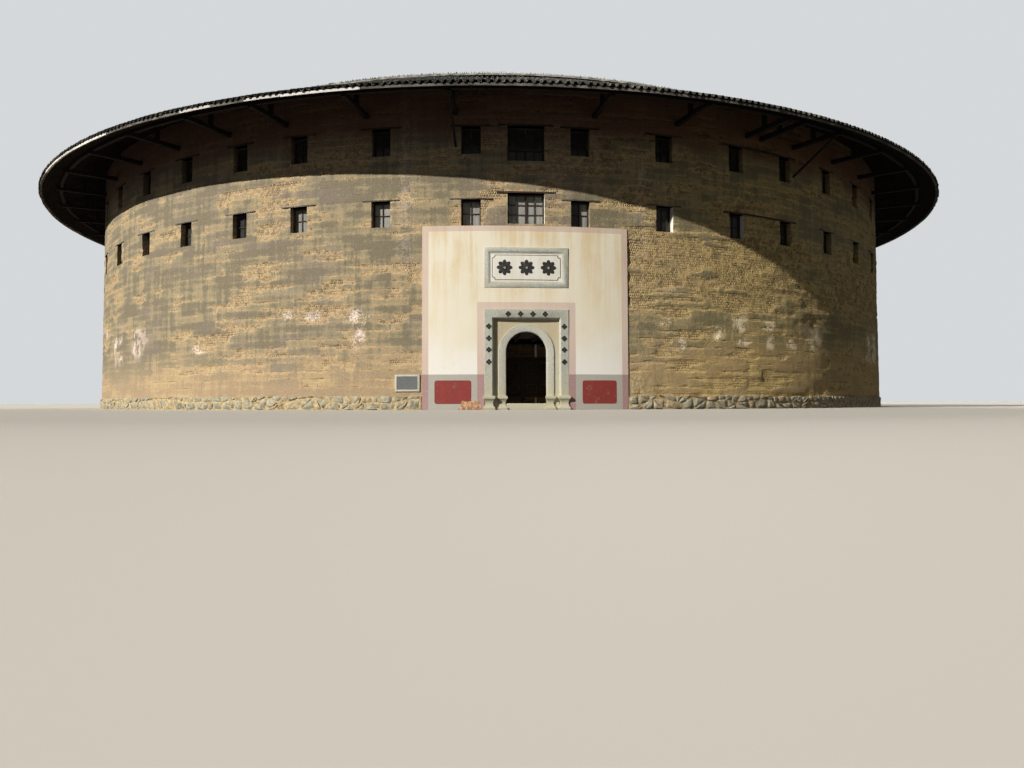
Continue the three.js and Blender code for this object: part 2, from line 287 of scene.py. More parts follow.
def ring_beam(start: float, end: float, profile: Array, steps: int, finish: int = 0, tone: float = 0.5) -> Patch:
    """A closed section carried round the house's axis from one angle to another.

    Args:
        start: First angle.
        end: Last angle.
        profile: (k, 2) radius and height, up the outer side first and down the inner side.
        steps: Straight lengths in the arc.
        finish: Finish number.
        tone: Tone of the whole beam.

    Returns:
        The patch, with u along the arc.
    """
    closed = np.concatenate([profile, profile[:1]])
    angles = np.linspace(start, end, steps + 1)
    points = polar(angles, closed[:, :1], closed[:, 1:])
    return swept(points, np.radians(angles) * profile[:, 0].mean(), profile, finish, tone)


def carried(path: Array, outward: Array, profile: Array, finish: int = 0, closed: bool = False) -> Patch:
    """A moulding: a closed section carried along a path that runs clockwise round an opening in the gate.

    A point of the section at distance d and depth y stands at path + d times the outward step, and y.

    Args:
        path: (n, 2) x and z.
        outward: (n, 2) step away from the opening for a distance of 1, longer at a mitred corner.
        profile: (k, 2) distance out from the path and y, from the back of its inner side round by the front.
        finish: Finish number.
        closed: True where the path ends at its start.

    Returns:
        The patch, with u along the path and v across it.
    """
    section = np.concatenate([profile, profile[:1]])
    x, z = (path[:, axis] + section[:, :1] * outward[:, axis] for axis in (0, 1))
    return swept(places(x, section[:, 1:], z), walked(path), profile, finish, closed=closed)


def lines(marks: Sequence[float] | Array, step: float) -> Array:
    """Grid lines that pass through every mark, with even steps no longer than step between marks."""
    marks = np.unique(np.round(marks, 6))
    counts = np.maximum(1, np.ceil(np.diff(marks) / step - SLACK)).astype(int)
    parts = [np.linspace(a, b, count + 1)[:-1] for a, b, count in zip(marks[:-1], marks[1:], counts)]
    return np.concatenate([*parts, marks[-1:]])


def turns(angle: Array | float) -> Array:
    """Turns from the back of the house, 0 to 1, at an angle from the gate."""
    return (np.asarray(angle, float) + 180) / 360


def noise(turn: Array, v: Array, period: int, seed: int, octaves: int = 2) -> Array:
    """Smooth random field that closes round the house.

    Random values stand on a lattice of whole numbers, and each place blends its four neighbours by
    3t² - 2t³. Each octave has twice the lattice and half the weight.

    Args:
        turn: Turns round the house, from 0 to 1.
        v: Lattice units of height.
        period: Lattice units in a full turn.
        seed: Seed of the lattice.
        octaves: How many lattices are summed.

    Returns:
        Values from 0 to 1, about 0.5 on average.
    """
    u, v = np.broadcast_arrays(np.asarray(turn, float) * period, np.asarray(v, float))
    total, weight = np.zeros(u.shape), 0.0
    for octave in range(octaves):
        size = 2**octave
        cells = period * size
        a, b = u * size, (v - v.min()) * size
        table = np.random.default_rng(seed + octave).random((int(b.max()) + 2, cells))
        i, j = np.floor(b).astype(int), np.floor(a).astype(int)
        s, t = ramp(b - i, 0, 1), ramp(a - j, 0, 1)
        left, right = j % cells, (j + 1) % cells
        low, high = (table[row, left] * (1 - t) + table[row, right] * t for row in (i, i + 1))
        total += (low * (1 - s) + high * s) / size
        weight += 1 / size
    return total / weight


def ramp(value: Array, low: float, high: float) -> Array:
    """Rises smoothly from 0 at low to 1 at high."""
    t = np.clip((np.asarray(value, float) - low) / (high - low), 0, 1)
    return t * t * (3 - 2 * t)


def linear(colour: str) -> tuple[float, float, float, float]:
    """Turns an sRGB hex colour into Blender's linear colour."""
    values = [int(colour.lstrip("#")[i : i + 2], 16) / 255 for i in (0, 2, 4)]
    return (*(v / 12.92 if v <= 0.04045 else ((v + 0.055) / 1.055) ** 2.4 for v in values), 1.0)


def per_mm(size: float) -> float:
    """Pattern scale, in repeats a real metre, of a detail that is size millimetres on the real house."""
    return 1000 / size


BRICK = ("Vector", "Brick Width", "Row Height", "Mortar Size", "Scale", "Mortar Smooth", "Color1", "Color2", "Mortar")
EACH_ITS_OWN = (0.0, 1.0, 0.0, "#000000", "#ffffff", "#808080")  # no mortar, and a grey for each brick


class Kind(Enum):
    """Blender's nodes that the finishes use: name, inputs in add()'s order, output and fixed settings."""

    OBJECT = ("TexCoord", (), "Object", {})
    UNROLLED = ("TexCoord", (), "UV", {})
    SCALED = ("Mapping", ("Vector", "Scale"), 0, {})
    CLOUD = ("TexNoise", ("Vector", "Scale", "Detail", "Roughness"), "Fac", {})
    WANDER = ("TexNoise", ("Vector", "Scale", "Detail"), "Color", {})
    BOND = ("TexBrick", BRICK, "Color", {})
    JOINTS = ("TexBrick", BRICK, "Fac", {})
    RANDOM = ("TexWhiteNoise", ("Vector",), "Value", {"noise_dimensions": "2D"})
    RANDOM_LINE = ("TexWhiteNoise", ("W",), "Value", {"noise_dimensions": "1D"})
    X = ("SeparateXYZ", (0,), 0, {})
    Y = ("SeparateXYZ", (0,), 1, {})
    Z = ("SeparateXYZ", (0,), 2, {})
    XYZ = ("CombineXYZ", (0, 1, 2), 0, {})
    MOVED = ("VectorMath", (0, 1, 2), 0, {"operation": "MULTIPLY_ADD"})
    TIMES = ("Math", (0, 1), 0, {"operation": "MULTIPLY"})
    PLUS = ("Math", (0, 1, 2), 0, {"operation": "MULTIPLY_ADD"})
    WHOLE = ("Math", (0,), 0, {"operation": "FLOOR"})
    PART = ("Math", (0,), 0, {"operation": "FRACT"})
    EDGE = ("Math", (0, 1), 0, {"operation": "PINGPONG"})
    TURN = ("Math", (0, 1), 0, {"operation": "ARCTAN2"})
    RISE = ("MapRange", ("Value", "From Min", "From Max", "To Min", "To Max"), 0, {"interpolation_type": "SMOOTHSTEP"})
    MIX = ("Mix", (0, 6, 7), 2, {"data_type": "RGBA"})
    MARK = ("Attribute", (), "Fac", {})
    RELIEF = ("Bump", ("Height", "Distance"), 0, {})
    SURFACE = ("BsdfPrincipled", ("Base Color", "Roughness", "Normal"), 0, {})
    GLOW = ("Emission", ("Color", "Strength"), 0, {})
    OUTPUT = ("OutputMaterial", ("Surface",), None, {})


def real(x: float = 1, y: float = 1, z: float = 1) -> Triple:
    """Mapping scale that reads real metres on each axis, where a number below 1 draws the pattern out."""
    return x / MODEL, y / MODEL, z / MODEL


class Recipe:
    """A material in the making."""

    def __init__(self, name: str) -> None:
        """Starts an empty material of that name."""
        self.material = bpy.data.materials.new(name)
        self.material.use_nodes = True
        self.tree = self.material.node_tree
        self.tree.nodes.clear()

    def add(self, kind: Kind, *inputs: object, **settings: object) -> Socket | None:
        """Adds a node with its settings and links.

        RISE goes smoothly from 0 to 1, or from its fourth to its fifth input, as the value goes from the
        second to the third, and PLUS is the first times the second plus the third.

        Args:
            kind: Which node.
            inputs: Values, sRGB hex colours, or the outputs to link, in the order that the kind gives.
            settings: Properties of this node alone.

        Returns:
            The node's output that the kind names.
        """
        name, order, output, fixed = kind.value
        node = self.tree.nodes.new(f"ShaderNode{name}")
        for key, value in {**fixed, **settings}.items():
            setattr(node, key, value)
        for key, value in zip(order, inputs):
            if isinstance(value, Socket):
                self.tree.links.new(value, node.inputs[key])
            elif value is not None:
                node.inputs[key].default_value = linear(value) if isinstance(value, str) else value
        return None if output is None else node.outputs[output]


Add = Callable[..., Socket | None]
Coat = tuple[Socket | str, Socket | float, Socket | None, Socket | float]


@dataclass(frozen=True)
class Coating:
    """What every finish has in common: it reads the real house's metres and ends in one rough surface."""

    def draw(self, add: Add, thing: Socket, solid: Socket) -> Coat:
        """Adds the nodes that tell this finish from the others.

        Args:
            add: Adds a node, as Recipe.add says.
            thing: The piece's own coordinates.
            solid: The same in the real house's metres.

        Returns:
            Colour, roughness, height from 0 to 1, and the depth in the model's metres that it stands for.
        """
        raise NotImplementedError

    def make(self, name: str) -> bpy.types.Material:
        """Builds the material under that name."""
        recipe = Recipe(name)
        thing = recipe.add(Kind.OBJECT)
        colour, rough, rise, depth = self.draw(recipe.add, thing, recipe.add(Kind.SCALED, thing, real()))
        relief = None if rise is None else recipe.add(Kind.RELIEF, rise, depth)
        recipe.add(Kind.OUTPUT, recipe.add(Kind.SURFACE, colour, rough, relief))
        return recipe.material


@dataclass(frozen=True)
class RammedEarth(Coating):
    """Loam rammed between boards: smooth grey skin where it lasts, warm crumbly loam where rain took it.

    wear says how much of the skin is gone, and tone where salts whiten the wall. Rain eats in along the
    joints of the lifts first. The loam is rammed in thin layers, so its crumbs and pits stand in level rows.
    """

    skin: str = "#9f9277"
    weathered: str = "#c6b78f"
    rosy: str = "#aa998b"
    loam: str = "#c5b182"
    fresh: str = "#e0cca0"
    salt: str = "#fff0e8"
    # Painted light: lit_side_tint is multiplied over the side that faces the key light, shaded_side_tint over the side
    # away from it.
    lit_side_tint: str = "#ebebeb"
    shaded_side_tint: str = "#fffee0"
    # Red-brown painted on the wall under the eave as shade.
    brown: str = "#8a543a"
    # Colour painted into pits, and faintly into joints and ledges, as shade.
    pit_shade: str = "#4a3b28"
    board: Pair = (1.76175, 0.37)
    joint: float = 0.016
    crumb: Pair = (0.104, 0.116)
    crumb_shift: float = 0.37

    def draw(self, add: Add, thing: Socket, solid: Socket) -> Coat:
        """Adds the nodes: how worn each place is, then its colours, then its relief."""
        sheet = add(Kind.UNROLLED)
        flat = add(Kind.SCALED, sheet, real())
        broad = add(Kind.CLOUD, solid, per_mm(2400), 4.0)
        middle = add(Kind.CLOUD, solid, per_mm(420), 4.0)
        fine = add(Kind.CLOUD, solid, per_mm(75), 3.0, 0.6)
        streaks = add(Kind.CLOUD, add(Kind.SCALED, thing, real(z=0.07)), per_mm(300), 4.0, 0.6)
        layers = add(Kind.CLOUD, add(Kind.SCALED, sheet, real(x=0.2)), per_mm(230), 3.0)
        # sunless rises from the gate's axis towards +X, the side that the key light only grazes; the colours below use
        # it to paint light.
        height, sunless = add(Kind.Z, solid), add(Kind.RISE, add(Kind.X, solid), 0.0, 12.0)

        bent = add(Kind.MOVED, add(Kind.WANDER, flat, 0.9, 3.0), (0.1, 0.08, 0), flat)
        board = add(Kind.BOND, bent, *self.board, *EACH_ITS_OWN)
        joint = add(Kind.JOINTS, bent, *self.board, self.joint, 1.0, 0.4)
        joint = add(Kind.TIMES, joint, add(Kind.RISE, middle, 0.45, 0.65, 0.0, 0.6))
        from_joint = add(Kind.EDGE, add(Kind.TIMES, add(Kind.Y, bent), 1 / self.board[1]), 0.5)
        ledge = add(Kind.TIMES, add(Kind.RISE, from_joint, 0.05, 0.0), add(Kind.RISE, layers, 0.46, 0.6))
        joint = add(Kind.PLUS, ledge, 0.15, joint)
        worn = add(Kind.PLUS, middle, 0.5, add(Kind.MARK, attribute_name="wear"))
        worn = add(Kind.PLUS, fine, 0.4, add(Kind.PLUS, broad, 0.15, worn))
        worn = add(Kind.PLUS, streaks, 0.2, add(Kind.PLUS, board, 0.2, worn))
        worn = add(Kind.PLUS, from_joint, -0.6, add(Kind.PLUS, layers, 0.5, worn))
        gone, deep = add(Kind.RISE, worn, 1.24, 1.38), add(Kind.RISE, worn, 1.3, 1.6)
        crumbled = add(Kind.MOVED, add(Kind.WANDER, flat, per_mm(260), 3.0), (0.17, 0.07, 0), bent)
        crumb = add(Kind.BOND, crumbled, *self.crumb, *EACH_ITS_OWN, offset=self.crumb_shift)
        hollow = add(Kind.JOINTS, crumbled, *self.crumb, min(self.crumb) * 0.46, 1.0, 1.0, offset=self.crumb_shift)
        pitted = add(Kind.TIMES, add(Kind.RISE, add(Kind.PLUS, crumb, -0.35, fine), 0.38, 0.52), deep)
        pitted = add(Kind.TIMES, pitted, add(Kind.RISE, height, 1.6, 3.6, 0.3, 1.0))

        shade = add(Kind.PLUS, board, 0.2, add(Kind.PLUS, streaks, 0.9, add(Kind.TIMES, worn, 0.6)))
        tinge = add(Kind.EDGE, add(Kind.TIMES, board, 5.0), 1.0)
        bare = add(Kind.RISE, add(Kind.PLUS, crumb, 0.3, fine), 0.38, 0.78)
        # Fresh loam at the foot is wear; that it reaches 1.3 m higher on the side away from the key light is painted
        # light.
        low = add(Kind.PLUS, sunless, -1.3, add(Kind.PLUS, broad, 2.4, height))
        washed = add(Kind.PLUS, middle, 0.7, add(Kind.PLUS, streaks, 0.3, add(Kind.TIMES, fine, 0.6)))
        colour = self.skin
        for share, coat in (
            (add(Kind.RISE, shade, 1.02, 1.36), self.weathered),
            (add(Kind.TIMES, tinge, add(Kind.RISE, broad, 0.45, 0.6, 0.0, 0.6)), self.rosy),
            (add(Kind.TIMES, gone, 0.8), add(Kind.MIX, bare, self.loam, self.fresh)),
            (add(Kind.RISE, low, 4.6, 2.2, 0.0, 0.6), self.fresh),
            (add(Kind.TIMES, add(Kind.MARK, attribute_name="tone"), add(Kind.RISE, washed, 0.72, 0.86)), self.salt),
            # Painted shade: the wall darkens to red-brown towards the eave, where the eave's shade falls.
            (add(Kind.RISE, add(Kind.PLUS, broad, 1.6, height), 12.4, 14.2, 0.0, 0.8), self.brown),
            # Painted shade: pits take pit_shade, and joints and ledges a little of it, which on the joints is partly
            # dark joint dirt.
            (add(Kind.TIMES, pitted, 0.25), self.pit_shade),
            (add(Kind.TIMES, joint, 0.1), self.pit_shade),
        ):
            colour = add(Kind.MIX, share, colour, coat)
        grains = add(Kind.MIX, add(Kind.RISE, fine, 0.3, 0.7), "#767676", "#a0a0a0")
        colour = add(Kind.MIX, 0.6, colour, grains, blend_type="OVERLAY")
        # Painted light: the side facing the key light is multiplied a little darker and the side away from it a little
        # yellower.
        side_light_tint = add(Kind.MIX, sunless, self.lit_side_tint, self.shaded_side_tint)
        colour = add(Kind.MIX, 1.0, colour, side_light_tint, blend_type="MULTIPLY")

        rise = add(Kind.PLUS, middle, 0.4, add(Kind.PLUS, fine, 0.4, add(Kind.TIMES, board, 0.1)))
        lumpy = add(Kind.PLUS, hollow, -0.75, add(Kind.PLUS, crumb, 0.55, -0.25))
        broken = add(Kind.TIMES, deep, add(Kind.RISE, add(Kind.PLUS, layers, 0.6, middle), 0.68, 0.92, 0.15, 1.0))
        rise = add(Kind.PLUS, broken, lumpy, add(Kind.PLUS, gone, -0.2, rise))
        rise = add(Kind.PLUS, pitted, -0.3, add(Kind.PLUS, joint, -0.3, rise))
        depth = add(Kind.RISE, add(Kind.X, solid), -4.0, 10.0, 0.045 * MODEL, 0.085 * MODEL)
        return colour, add(Kind.RISE, fine, 0.2, 0.8, 0.84, 0.98), rise, depth


@dataclass(frozen=True)
class LimePlaster(Coating):
    """Lime plaster trowelled on the wall and limewashed: rain leaves upright stains on it."""

    wash: str = "#eee8d8"
    stain: str = "#dcc398"
    pale: str = "#f3f1ec"
    pale_below: float = 3.2
    scuff: str = "#c9bca0"
    scuffed: float = 0.12
    stained: float = 0.5

    def draw(self, add: Add, thing: Socket, solid: Socket) -> Coat:
        """Adds the nodes: stains, the paler foot, scuffs and a mottle."""
        streaks = add(Kind.CLOUD, add(Kind.SCALED, thing, real(z=0.06)), per_mm(330), 5.0, 0.62)
        fine = add(Kind.CLOUD, solid, per_mm(90), 4.0, 0.65)
        broad = add(Kind.CLOUD, solid, per_mm(1300), 3.0)
        height = add(Kind.PLUS, broad, 1.6, add(Kind.Z, solid))
        stained = add(Kind.RISE, add(Kind.PLUS, broad, 0.5, streaks), 0.6, 0.95, 0.0, self.stained)
        worn = add(Kind.TIMES, add(Kind.RISE, fine, 0.6, 0.72), add(Kind.RISE, broad, 0.42, 0.62))
        colour = self.wash
        for share, coat in (
            (add(Kind.TIMES, stained, add(Kind.RISE, height, 4.0, 8.8, 0.25, 1.0)), self.stain),
            (add(Kind.RISE, height, self.pale_below + 1.6, self.pale_below - 0.8, 0.0, 0.8), self.pale),
            (add(Kind.TIMES, worn, self.scuffed * 5), self.scuff),
        ):
            colour = add(Kind.MIX, share, colour, coat)
        mottle = add(Kind.MIX, add(Kind.RISE, fine, 0.3, 0.7), "#747474", "#8c8c8c")
        colour = add(Kind.MIX, 0.5, colour, mottle, blend_type="OVERLAY")
        rise = add(Kind.PLUS, add(Kind.CLOUD, solid, per_mm(400), 2.0), 0.6, add(Kind.TIMES, fine, 0.5))
        return colour, 0.86, rise, 0.008 * MODEL


@dataclass(frozen=True)
class DressedStone(Coating):
    """Grey-green granite, chiselled flat: crystals show as a speckle, with broad stains and a yellower foot."""

    ground: str = "#bcbcae"
    dark: str = "#949587"
    light: str = "#d1d1c4"
    stain: str = "#aba288"
    foot_tint: str = "#bdb086"
    crystal_mm: float = 55

    def draw(self, add: Add, thing: Socket, solid: Socket) -> Coat:
        """Adds the nodes. The crystals are drawn ten times too coarse, to show."""
        speckle = add(Kind.CLOUD, solid, per_mm(self.crystal_mm), 3.0, 0.7)
        broad = add(Kind.CLOUD, solid, per_mm(600), 3.0)
        low = add(Kind.PLUS, broad, 0.6, add(Kind.Z, solid))
        colour = self.dark
        for share, coat in (
            (add(Kind.RISE, speckle, 0.36, 0.52), self.ground),
            (add(Kind.RISE, speckle, 0.55, 0.7), self.light),
            (add(Kind.RISE, broad, 0.45, 0.75, 0.0, 0.45), self.stain),
            # Yellower towards the foot.
            (add(Kind.RISE, low, 2.1, 0.7, 0.0, 0.6), self.foot_tint),
            (0.25, add(Kind.MIX, add(Kind.MARK, attribute_name="tone"), self.dark, self.light)),
        ):
            colour = add(Kind.MIX, share, colour, coat)
        rise = add(Kind.PLUS, add(Kind.CLOUD, solid, per_mm(160), 2.0), 0.5, add(Kind.TIMES, speckle, 0.5))
        return colour, 0.74, rise, 0.006 * MODEL


@dataclass(frozen=True)
class RiverStone(Coating):
    """Water-worn stones: smooth grey-green, brown and ochre by turns, dull on their crowns."""

    greys: tuple[str, str] = ("#83806c", "#beb69c")
    warms: tuple[str, str] = ("#a48f6a", "#dac59a")
    veins: str = "#4a4637"

    def draw(self, add: Add, thing: Socket, solid: Socket) -> Coat:
        """Adds the nodes: each stone's own colour, and its veins."""
        vein, fine = add(Kind.CLOUD, solid, per_mm(160), 4.0), add(Kind.CLOUD, solid, per_mm(25), 3.0, 0.6)
        share = add(Kind.RISE, vein, 0.35, 0.65)
        tone = add(Kind.MARK, attribute_name="tone")
        colour, warm = (add(Kind.MIX, share, *pair) for pair in (self.greys, self.warms))
        for share, coat in (
            (add(Kind.RISE, tone, 0.45, 0.9), warm),
            (add(Kind.TIMES, add(Kind.EDGE, add(Kind.TIMES, tone, 7.0), 1.0), 0.35), self.greys[1]),
            (add(Kind.RISE, fine, 0.3, 0.75, 0.0, 0.35), self.veins),
        ):
            colour = add(Kind.MIX, share, colour, coat)
        return colour, 0.78, add(Kind.PLUS, vein, 0.6, add(Kind.TIMES, fine, 0.4)), 0.02 * MODEL


@dataclass(frozen=True)
class EarthMortar(Coating):
    """Lime and earth packed between the stones by hand: ochre, crumbly and grainy."""

    ground: str = "#cfb98d"
    shade: str = "#a58d64"

    def draw(self, add: Add, thing: Socket, solid: Socket) -> Coat:
        """Adds the nodes: lumps and grains."""
        lumps, fine = add(Kind.CLOUD, solid, per_mm(140), 4.0), add(Kind.CLOUD, solid, per_mm(30), 3.0, 0.65)
        colour = add(Kind.MIX, add(Kind.RISE, lumps, 0.35, 0.65), self.shade, self.ground)
        return colour, 0.95, add(Kind.PLUS, lumps, 0.7, add(Kind.TIMES, fine, 0.4)), 0.03 * MODEL


@dataclass(frozen=True)
class SawnTimber(Coating):
    """Fir left bare to the weather: grain along its length, darker with smoke or silvered by sun and rain."""

    ground: str = "#4a3826"
    dark: str = "#2a2018"
    bleached: str = "#6a5a48"
    silver: float = 0.25

    def draw(self, add: Add, thing: Socket, solid: Socket) -> Coat:
        """Adds the nodes. Growth rings are drawn 40 mm apart, coarse enough to show."""
        along = add(Kind.SCALED, add(Kind.UNROLLED), real(x=0.05))
        grain, cracks = add(Kind.CLOUD, along, per_mm(40), 3.0, 0.6), add(Kind.CLOUD, along, per_mm(16), 2.0)
        weathered = add(Kind.PLUS, grain, 0.4, add(Kind.CLOUD, solid, per_mm(700), 3.0))
        colour = self.dark
        for share, coat in (
            (add(Kind.RISE, grain, 0.35, 0.65), self.ground),
            (add(Kind.RISE, weathered, 0.95 - self.silver, 1.15 - self.silver * 0.6), self.bleached),
            (add(Kind.TIMES, add(Kind.MARK, attribute_name="tone"), 0.55), self.dark),
            (add(Kind.RISE, cracks, 0.36, 0.28, 0.0, 0.8), self.dark),
        ):
            colour = add(Kind.MIX, share, colour, coat)
        return colour, 0.82, add(Kind.PLUS, grain, 0.5, add(Kind.TIMES, cracks, 0.5)), 0.008 * MODEL


@dataclass(frozen=True)
class BareTimber(Coating):
    """The same fir on solids without an unrolled surface of their own, with its figure in the round, and much darker
    than the sawn fir: partly smoke, partly painted shade.
    """

    # Painted shade: these colours are darker than the sawn fir's for the eave, gallery and doorway timbers, which stand
    # in shade.
    ground: str = "#261b12"
    dark: str = "#130d09"

    def draw(self, add: Add, thing: Socket, solid: Socket) -> Coat:
        """Adds the nodes: an upright figure and smoke."""
        figure = add(Kind.CLOUD, add(Kind.SCALED, thing, real(z=0.3)), per_mm(90), 4.0, 0.6)
        broad = add(Kind.CLOUD, solid, per_mm(900), 2.0)
        colour = add(Kind.MIX, add(Kind.RISE, figure, 0.32, 0.68), self.dark, self.ground)
        colour = add(Kind.MIX, add(Kind.RISE, broad, 0.5, 0.7, 0.0, 0.4), colour, self.dark)
        return colour, 0.84, figure, 0.01 * MODEL


@dataclass(frozen=True)
class FloorBoards(Coating):
    """Fir boards laid across the joists; they are told apart round the house."""

    ground: str = "#6d5539"
    dark: str = "#3c2d1e"
    board_mm: float = 220
    middle_radius: float = 24

    def draw(self, add: Add, thing: Socket, solid: Socket) -> Coat:
        """Adds the nodes. A board's number is the turn round the house over its width."""
        turn = add(Kind.TURN, add(Kind.Y, solid), add(Kind.X, solid))
        board = add(Kind.TIMES, turn, self.middle_radius * per_mm(self.board_mm))
        edge, tint = add(Kind.EDGE, board, 0.5), add(Kind.RANDOM_LINE, add(Kind.WHOLE, board))
        grain = add(Kind.CLOUD, solid, per_mm(110), 4.0, 0.6)
        share = add(Kind.RISE, add(Kind.PLUS, grain, 0.7, add(Kind.TIMES, tint, 0.4)), 0.3, 0.8)
        colour = add(Kind.MIX, share, self.dark, self.ground)
        colour = add(Kind.MIX, add(Kind.RISE, edge, 0.05, 0.02, 0.0, 0.7), colour, self.dark)
        return colour, 0.8, add(Kind.PLUS, grain, 0.3, add(Kind.RISE, edge, 0.0, 0.06, 0.0, 0.7)), 0.006 * MODEL


@dataclass(frozen=True)
class ClayTile(Coating):
    """Grey fired clay tiles laid dry, each lapping the one below: no two alike, with lichen and old leaves.

    The unrolled surface counts u in metres across the rolls and v in metres down the slope.
    """

    ground: str = "#3b3a34"
    dark: str = "#1e1d1a"
    light: str = "#7a786d"
    lichen: str = "#ada991"
    moss: str = "#5b5538"
    pitch_mm: float = 310
    lap_mm: float = 150

    def draw(self, add: Add, thing: Socket, solid: Socket) -> Coat:
        """Adds the nodes. Each half pitch is a row of tiles that starts where it likes."""
        flat = add(Kind.SCALED, add(Kind.UNROLLED), real())
        row = add(Kind.WHOLE, add(Kind.TIMES, add(Kind.X, flat), 2 * per_mm(self.pitch_mm)))
        down = add(Kind.PLUS, add(Kind.Y, flat), per_mm(self.lap_mm), add(Kind.RANDOM_LINE, row))
        part = add(Kind.PART, down)
        lip = add(Kind.RISE, part, 0.88, 0.99)
        tint = add(Kind.RANDOM, add(Kind.XYZ, row, add(Kind.WHOLE, down)))
        broad, middle = add(Kind.CLOUD, solid, per_mm(2600), 4.0), add(Kind.CLOUD, solid, per_mm(500), 4.0)
        fine = add(Kind.CLOUD, solid, per_mm(60), 3.0, 0.65)
        colour = self.dark
        for share, coat in (
            (tint, self.ground),
            (add(Kind.RISE, add(Kind.PLUS, tint, 0.5, broad), 0.85, 1.15, 0.0, 0.7), self.light),
            (add(Kind.RISE, add(Kind.PLUS, fine, 0.6, middle), 0.92, 1.06, 0.0, 0.7), self.lichen),
            (add(Kind.RISE, add(Kind.PLUS, middle, 0.7, broad), 0.95, 1.15, 0.0, 0.6), self.moss),
            # Painted shade: each tile is darkened along its lower lip, where it laps over the next.
            (add(Kind.TIMES, lip, 0.55), self.dark),
        ):
            colour = add(Kind.MIX, share, colour, coat)
        rise = add(Kind.PLUS, part, 0.8, add(Kind.PLUS, lip, -0.8, add(Kind.TIMES, fine, 0.15)))
        return colour, 0.86, add(Kind.PLUS, tint, 0.15, rise), 0.03 * MODEL


@dataclass(frozen=True)
class RidgeLime(Coating):
    """Lime mortar run along the ridge and gone grey: rough, cracked, whiter where it is sound."""

    ground: str = "#a9a699"
    dark: str = "#5a574e"

    def draw(self, add: Add, thing: Socket, solid: Socket) -> Coat:
        """Adds the nodes: sound and rough places, and each tile's tone."""
        middle, fine = add(Kind.CLOUD, solid, per_mm(380), 4.0), add(Kind.CLOUD, solid, per_mm(50), 3.0, 0.65)
        sound = add(Kind.RISE, add(Kind.PLUS, middle, 0.7, add(Kind.TIMES, fine, 0.4)), 0.42, 0.68)
        colour = add(Kind.MIX, sound, self.dark, self.ground)
        colour = add(Kind.MIX, add(Kind.TIMES, add(Kind.MARK, attribute_name="tone"), 0.35), colour, self.dark)
        return colour, 0.9, add(Kind.PLUS, middle, 0.5, add(Kind.TIMES, fine, 0.5)), 0.03 * MODEL


@dataclass(frozen=True)
class DustyGlass(Coating):
    """Old drawn window glass filmed with dust, showing a pale curtain, and elsewhere the unlit room behind it painted
    on as dark shade; tone tells which.
    """

    # Near-black for the unlit room behind the glass: painted shade.
    room: str = "#14181c"
    curtain: str = "#a6a59f"
    fold: str = "#8d8d89"
    dust: str = "#6f6a5c"

    def draw(self, add: Add, thing: Socket, solid: Socket) -> Coat:
        """Adds the nodes: the room's painted shade, curtain and dust."""
        folds = add(Kind.CLOUD, add(Kind.SCALED, thing, real(z=0.1)), per_mm(140), 2.0)
        dust = add(Kind.CLOUD, solid, per_mm(300), 4.0, 0.6)
        cloth = add(Kind.MIX, add(Kind.RISE, folds, 0.35, 0.65), self.curtain, self.fold)
        colour = add(Kind.MIX, add(Kind.MARK, attribute_name="tone"), self.room, cloth)
        return add(Kind.MIX, add(Kind.RISE, dust, 0.4, 0.75, 0.04, 0.3), colour, self.dust), 0.16, None, 0.0


@dataclass(frozen=True)
class Paint(Coating):
    """Limewash or ink brushed on plaster or stone, thin enough that its ground shows through in scuffs."""

    colour: str = "#92352d"
    worn: str = "#b98675"
    amount: float = 0.5
    grime: str = "#261f19"

    def draw(self, add: Add, thing: Socket, solid: Socket) -> Coat:
        """Adds the nodes: grime and scuffs."""
        broad, fine = add(Kind.CLOUD, solid, per_mm(260), 4.0, 0.6), add(Kind.CLOUD, solid, per_mm(40), 3.0, 0.6)
        scuffs = add(Kind.RISE, add(Kind.PLUS, broad, 0.7, add(Kind.TIMES, fine, 0.5)), 0.66, 0.8, 0.0, self.amount)
        colour = add(Kind.MIX, add(Kind.RISE, broad, 0.3, 0.7, 0.0, 0.25), self.colour, self.grime)
        return add(Kind.MIX, scuffs, colour, self.worn), 0.75, fine, 0.004 * MODEL


@dataclass(frozen=True)
class MattGround(Coating):
    """The studio's floor: plain matt paper."""

    colour: str = "#c4c0b7"

    def draw(self, add: Add, thing: Socket, solid: Socket) -> Coat:
        """Adds nothing to the plain colour."""
        return self.colour, 0.9, None, 0.0


@dataclass(frozen=True)
class LitPaper(Coating):
    """The studio's backdrop: plain pale paper, evenly lit."""

    colour: str = "#d5d8da"

    def make(self, name: str) -> bpy.types.Material:
        """Builds the material under that name."""
        recipe = Recipe(name)
        recipe.add(Kind.OUTPUT, recipe.add(Kind.GLOW, self.colour, 1.0))
        return recipe.material


def plaster(wash: str, stain: str, pale: str, **rest: float | str) -> LimePlaster:
    """A limewash of those colours."""
    return LimePlaster(wash=wash, stain=stain, pale=pale, **rest)


PALE_GRANITE = DressedStone(ground="#c4c2b4", dark="#a9a799", light="#d0cec2", stain="#b6ad91")
RUBBED_SLATE = DressedStone(ground="#656b6c", dark="#4c5152", light="#7b8182", stain="#6d6a60", foot_tint="#6d6f6a")
SAND_RENDER = plaster("#d0c7ac", "#b9a882", "#cdcbbc", pale_below=3.3, scuffed=0.3, scuff="#b3a684")


